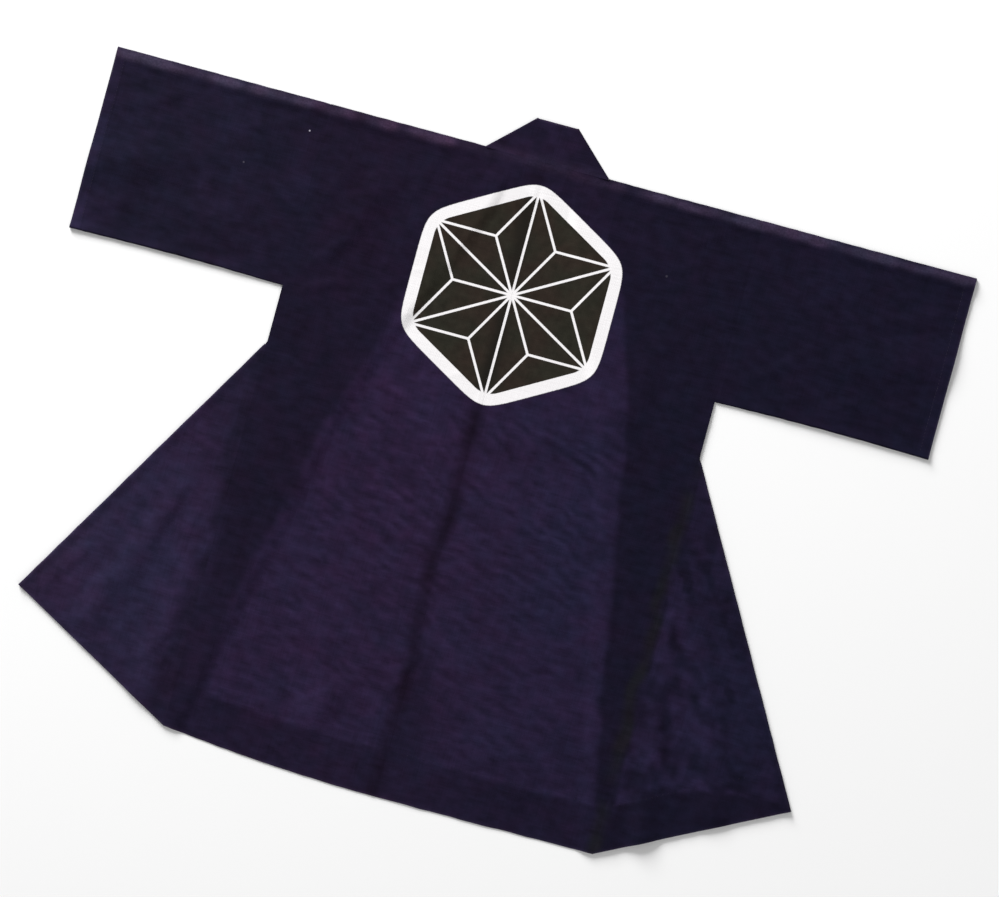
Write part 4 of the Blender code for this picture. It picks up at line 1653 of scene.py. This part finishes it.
def emblem(finish, place, cloth):
    """The cloth's colour with the emblem dyed over it."""
    bleed = (finish.speckle(place, *BLEED) - 0.5) * BLEED_WIDTH
    x = finish.axis(place, "X")
    y = finish.axis(place, "Y") - EMBLEM_Y
    reach = sum((slanted(x, y, a).size() / EMBLEM_HALF) ** ROUNDING for a in HALF_LINES)
    reach = reach ** (1 / ROUNDING) * EMBLEM_HALF + bleed
    shape = (1 - reach.step(EMBLEM_HALF - SOFT, EMBLEM_HALF + SOFT)) * finish.mark("printed")
    field = 1 - reach.step(EMBLEM_HALF - BORDER - SOFT, EMBLEM_HALF - BORDER + SOFT)
    parts = [(slanted(x, y, a) / CELL).rest() for a in LATTICE_LINES]
    downward = (parts[0] + parts[1] + parts[2]).step(*DOWNWARD)
    a, b, c = (part + downward * (1 - part * 2) for part in parts)
    least = a.lowest(b).lowest(c)
    most = a.highest(b).highest(c)
    middle = 1 - least - most
    edge = least * CELL
    spoke = (middle - least) * (CELL / math.sqrt(3))
    line = 1 - (edge.lowest(spoke) + bleed * 0.5).step(LINE / 2 - SOFT / 2, LINE / 2 + SOFT / 2)
    hue = finish.speckle(place, *INK_TURN).step(*INK_ENDS)
    ink = finish.colours(hue, BROWN_BLACK, GREEN_BLACK)
    wear = finish.speckle(place, *INK_WEAR) * 0.9 + 0.55
    # Painted shade of the centre seam darkens the ink as well.
    ink = finish.colours(finish.mark("seam_shade"), finish.scaled(ink, wear), SEAM_SHADE_BLACK)
    paint = finish.colours(field * (1 - line), WHITE, ink)
    return finish.colours(shape, cloth, paint)


# %% Lint
LINT = (0.45, 0.42, 0.50)
LINT_Z = 0.003
Speck = namedtuple("Speck", "x y reach share")
BODY_SPECKS = (Speck(0.195, 0.310, 0.0021, 0.06),)
SLEEVE_SPECKS = (Speck(-0.321, 0.374, 0.0015, 0.75), Speck(-0.396, 0.310, 0.0018, 0.09))
print(len(BODY_SPECKS) + len(SLEEVE_SPECKS), "specks of lint")


def lint(finish, place, colour, specks):
    """A few specks of pale lint on the cloth."""
    for speck in specks:
        ends = {0: place, 1: (speck.x, speck.y, LINT_Z)}
        far = finish.node("ShaderNodeVectorMath", ends, "Value", operation="DISTANCE")
        spot = (1 - far.step(speck.reach / 2, speck.reach)) * speck.share
        colour = finish.colours(spot, colour, LINT)
    return colour


# %% Cotton
THREAD_HEIGHT = 0.35
RELIEF = 0.00035
ROUGHNESS = 0.80


def cotton(name, weave_depth, printed=False, specks=()):
    """Dyed cotton with its weave in relief."""
    finish = Finish(name)
    place = finish.node("ShaderNodeTexCoord", out="Object")
    threads = weave(finish, place)
    slubs = finish.speckle(place, *WARP) + finish.speckle(place, *WEFT)
    colour = dyed(finish, place)
    if printed:
        colour = emblem(finish, place, colour)
    colour = lint(finish, place, colour, specks)
    height = threads * THREAD_HEIGHT + slubs
    bump = {"Height": height, "Strength": weave_depth, "Distance": RELIEF}
    normal = finish.node("ShaderNodeBump", bump)
    uneven = ROUGHNESS + threads * 0.04 + (slubs - 1) * 0.12
    finish.surface(Base_Color=colour, Roughness=uneven, Normal=normal)
    return finish.surface(Specular_IOR_Level=0.04, Sheen_Weight=0.02, Sheen_Roughness=0.5)


# %% Thread
DARK_THREAD = (0.010, 0.007, 0.018)
PALE_THREAD = (0.024, 0.016, 0.040)
FIBRES = Noise(3000, (1, 1, 1), 1)
FIBRE_RELIEF = 0.0002


def thread(name):
    """Indigo thread with a fibrous grain."""
    finish = Finish(name)
    place = finish.node("ShaderNodeTexCoord", out="Object")
    fibres = finish.speckle(place, *FIBRES)
    colour = finish.colours(fibres, DARK_THREAD, PALE_THREAD)
    bump = finish.node("ShaderNodeBump", {"Height": fibres, "Strength": 0.5, "Distance": FIBRE_RELIEF})
    finish.surface(Base_Color=colour, Roughness=0.6 + fibres * 0.2, Normal=bump)
    return finish.surface(Specular_IOR_Level=0.2, Sheen_Weight=0.05)


# %% Materials of the pieces
body_cotton = cotton("indigo_cotton_printed", 0.45, True, BODY_SPECKS)
plain_cotton = cotton("indigo_cotton", 0.45, specks=SLEEVE_SPECKS)
collar_cotton = cotton("indigo_cotton_double", 0.60)
indigo_thread = thread("indigo_thread")
made = (body_cotton, plain_cotton, collar_cotton, indigo_thread)
print("finishes", [material.name for material in made])

# %% [markdown]
# ## Putting the coat together
#
# Every piece rides on the coat's one body, stands for its solid, and says what cloth it was cut
# from: a body is a strip as long as the back and the front together, a sleeve a rectangle folded
# in half, a gore a tapering strip, and the collar a long band folded lengthwise.

# %% Join pieces to the frame
Cut = namedtuple("Cut", "width length area")
CUTS = {
    "body": Cut(0.460, 1.770, 0.39),
    "sleeve": Cut(0.298, 0.507, None),
    "gore": Cut(0.375, 0.530, 0.095),
    "collar": Cut(0.120, 2.050, None),
}


def dress(piece, node, cut, material, threads=None):
    """Gives a piece its finish and joins it to the frame."""
    piece.data.materials.append(material)
    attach(piece, "root")
    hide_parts(node)
    if threads:
        threads.data.materials.append(indigo_thread)
        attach(threads, "root")
    print(piece.name, "stands for", node, "and is cut from", cut.width, "by", cut.length, "m")


Dressed = namedtuple("Dressed", "kind pieces threads material rests_on")
DRESSED = (
    Dressed("body", bodies, body_threads, body_cotton, ("floor", "collar_cloth")),
    Dressed("sleeve", sleeves, sleeve_threads, plain_cotton, ("floor",)),
    Dressed("gore", gores, gore_threads, plain_cotton, ("floor", "body_{}_cloth")),
)
for kind, pieces, threads, material, rests_on in DRESSED:
    for side in SIDES:
        node = f"{kind}_{side.name}"
        dress(pieces[side], node, CUTS[kind], material, threads[side])
dress(collar_piece, "collar", CUTS["collar"], collar_cotton)

# %% Sizes of the solids
print("solids", [round(v, 4) for v in cad_high - cad_low])
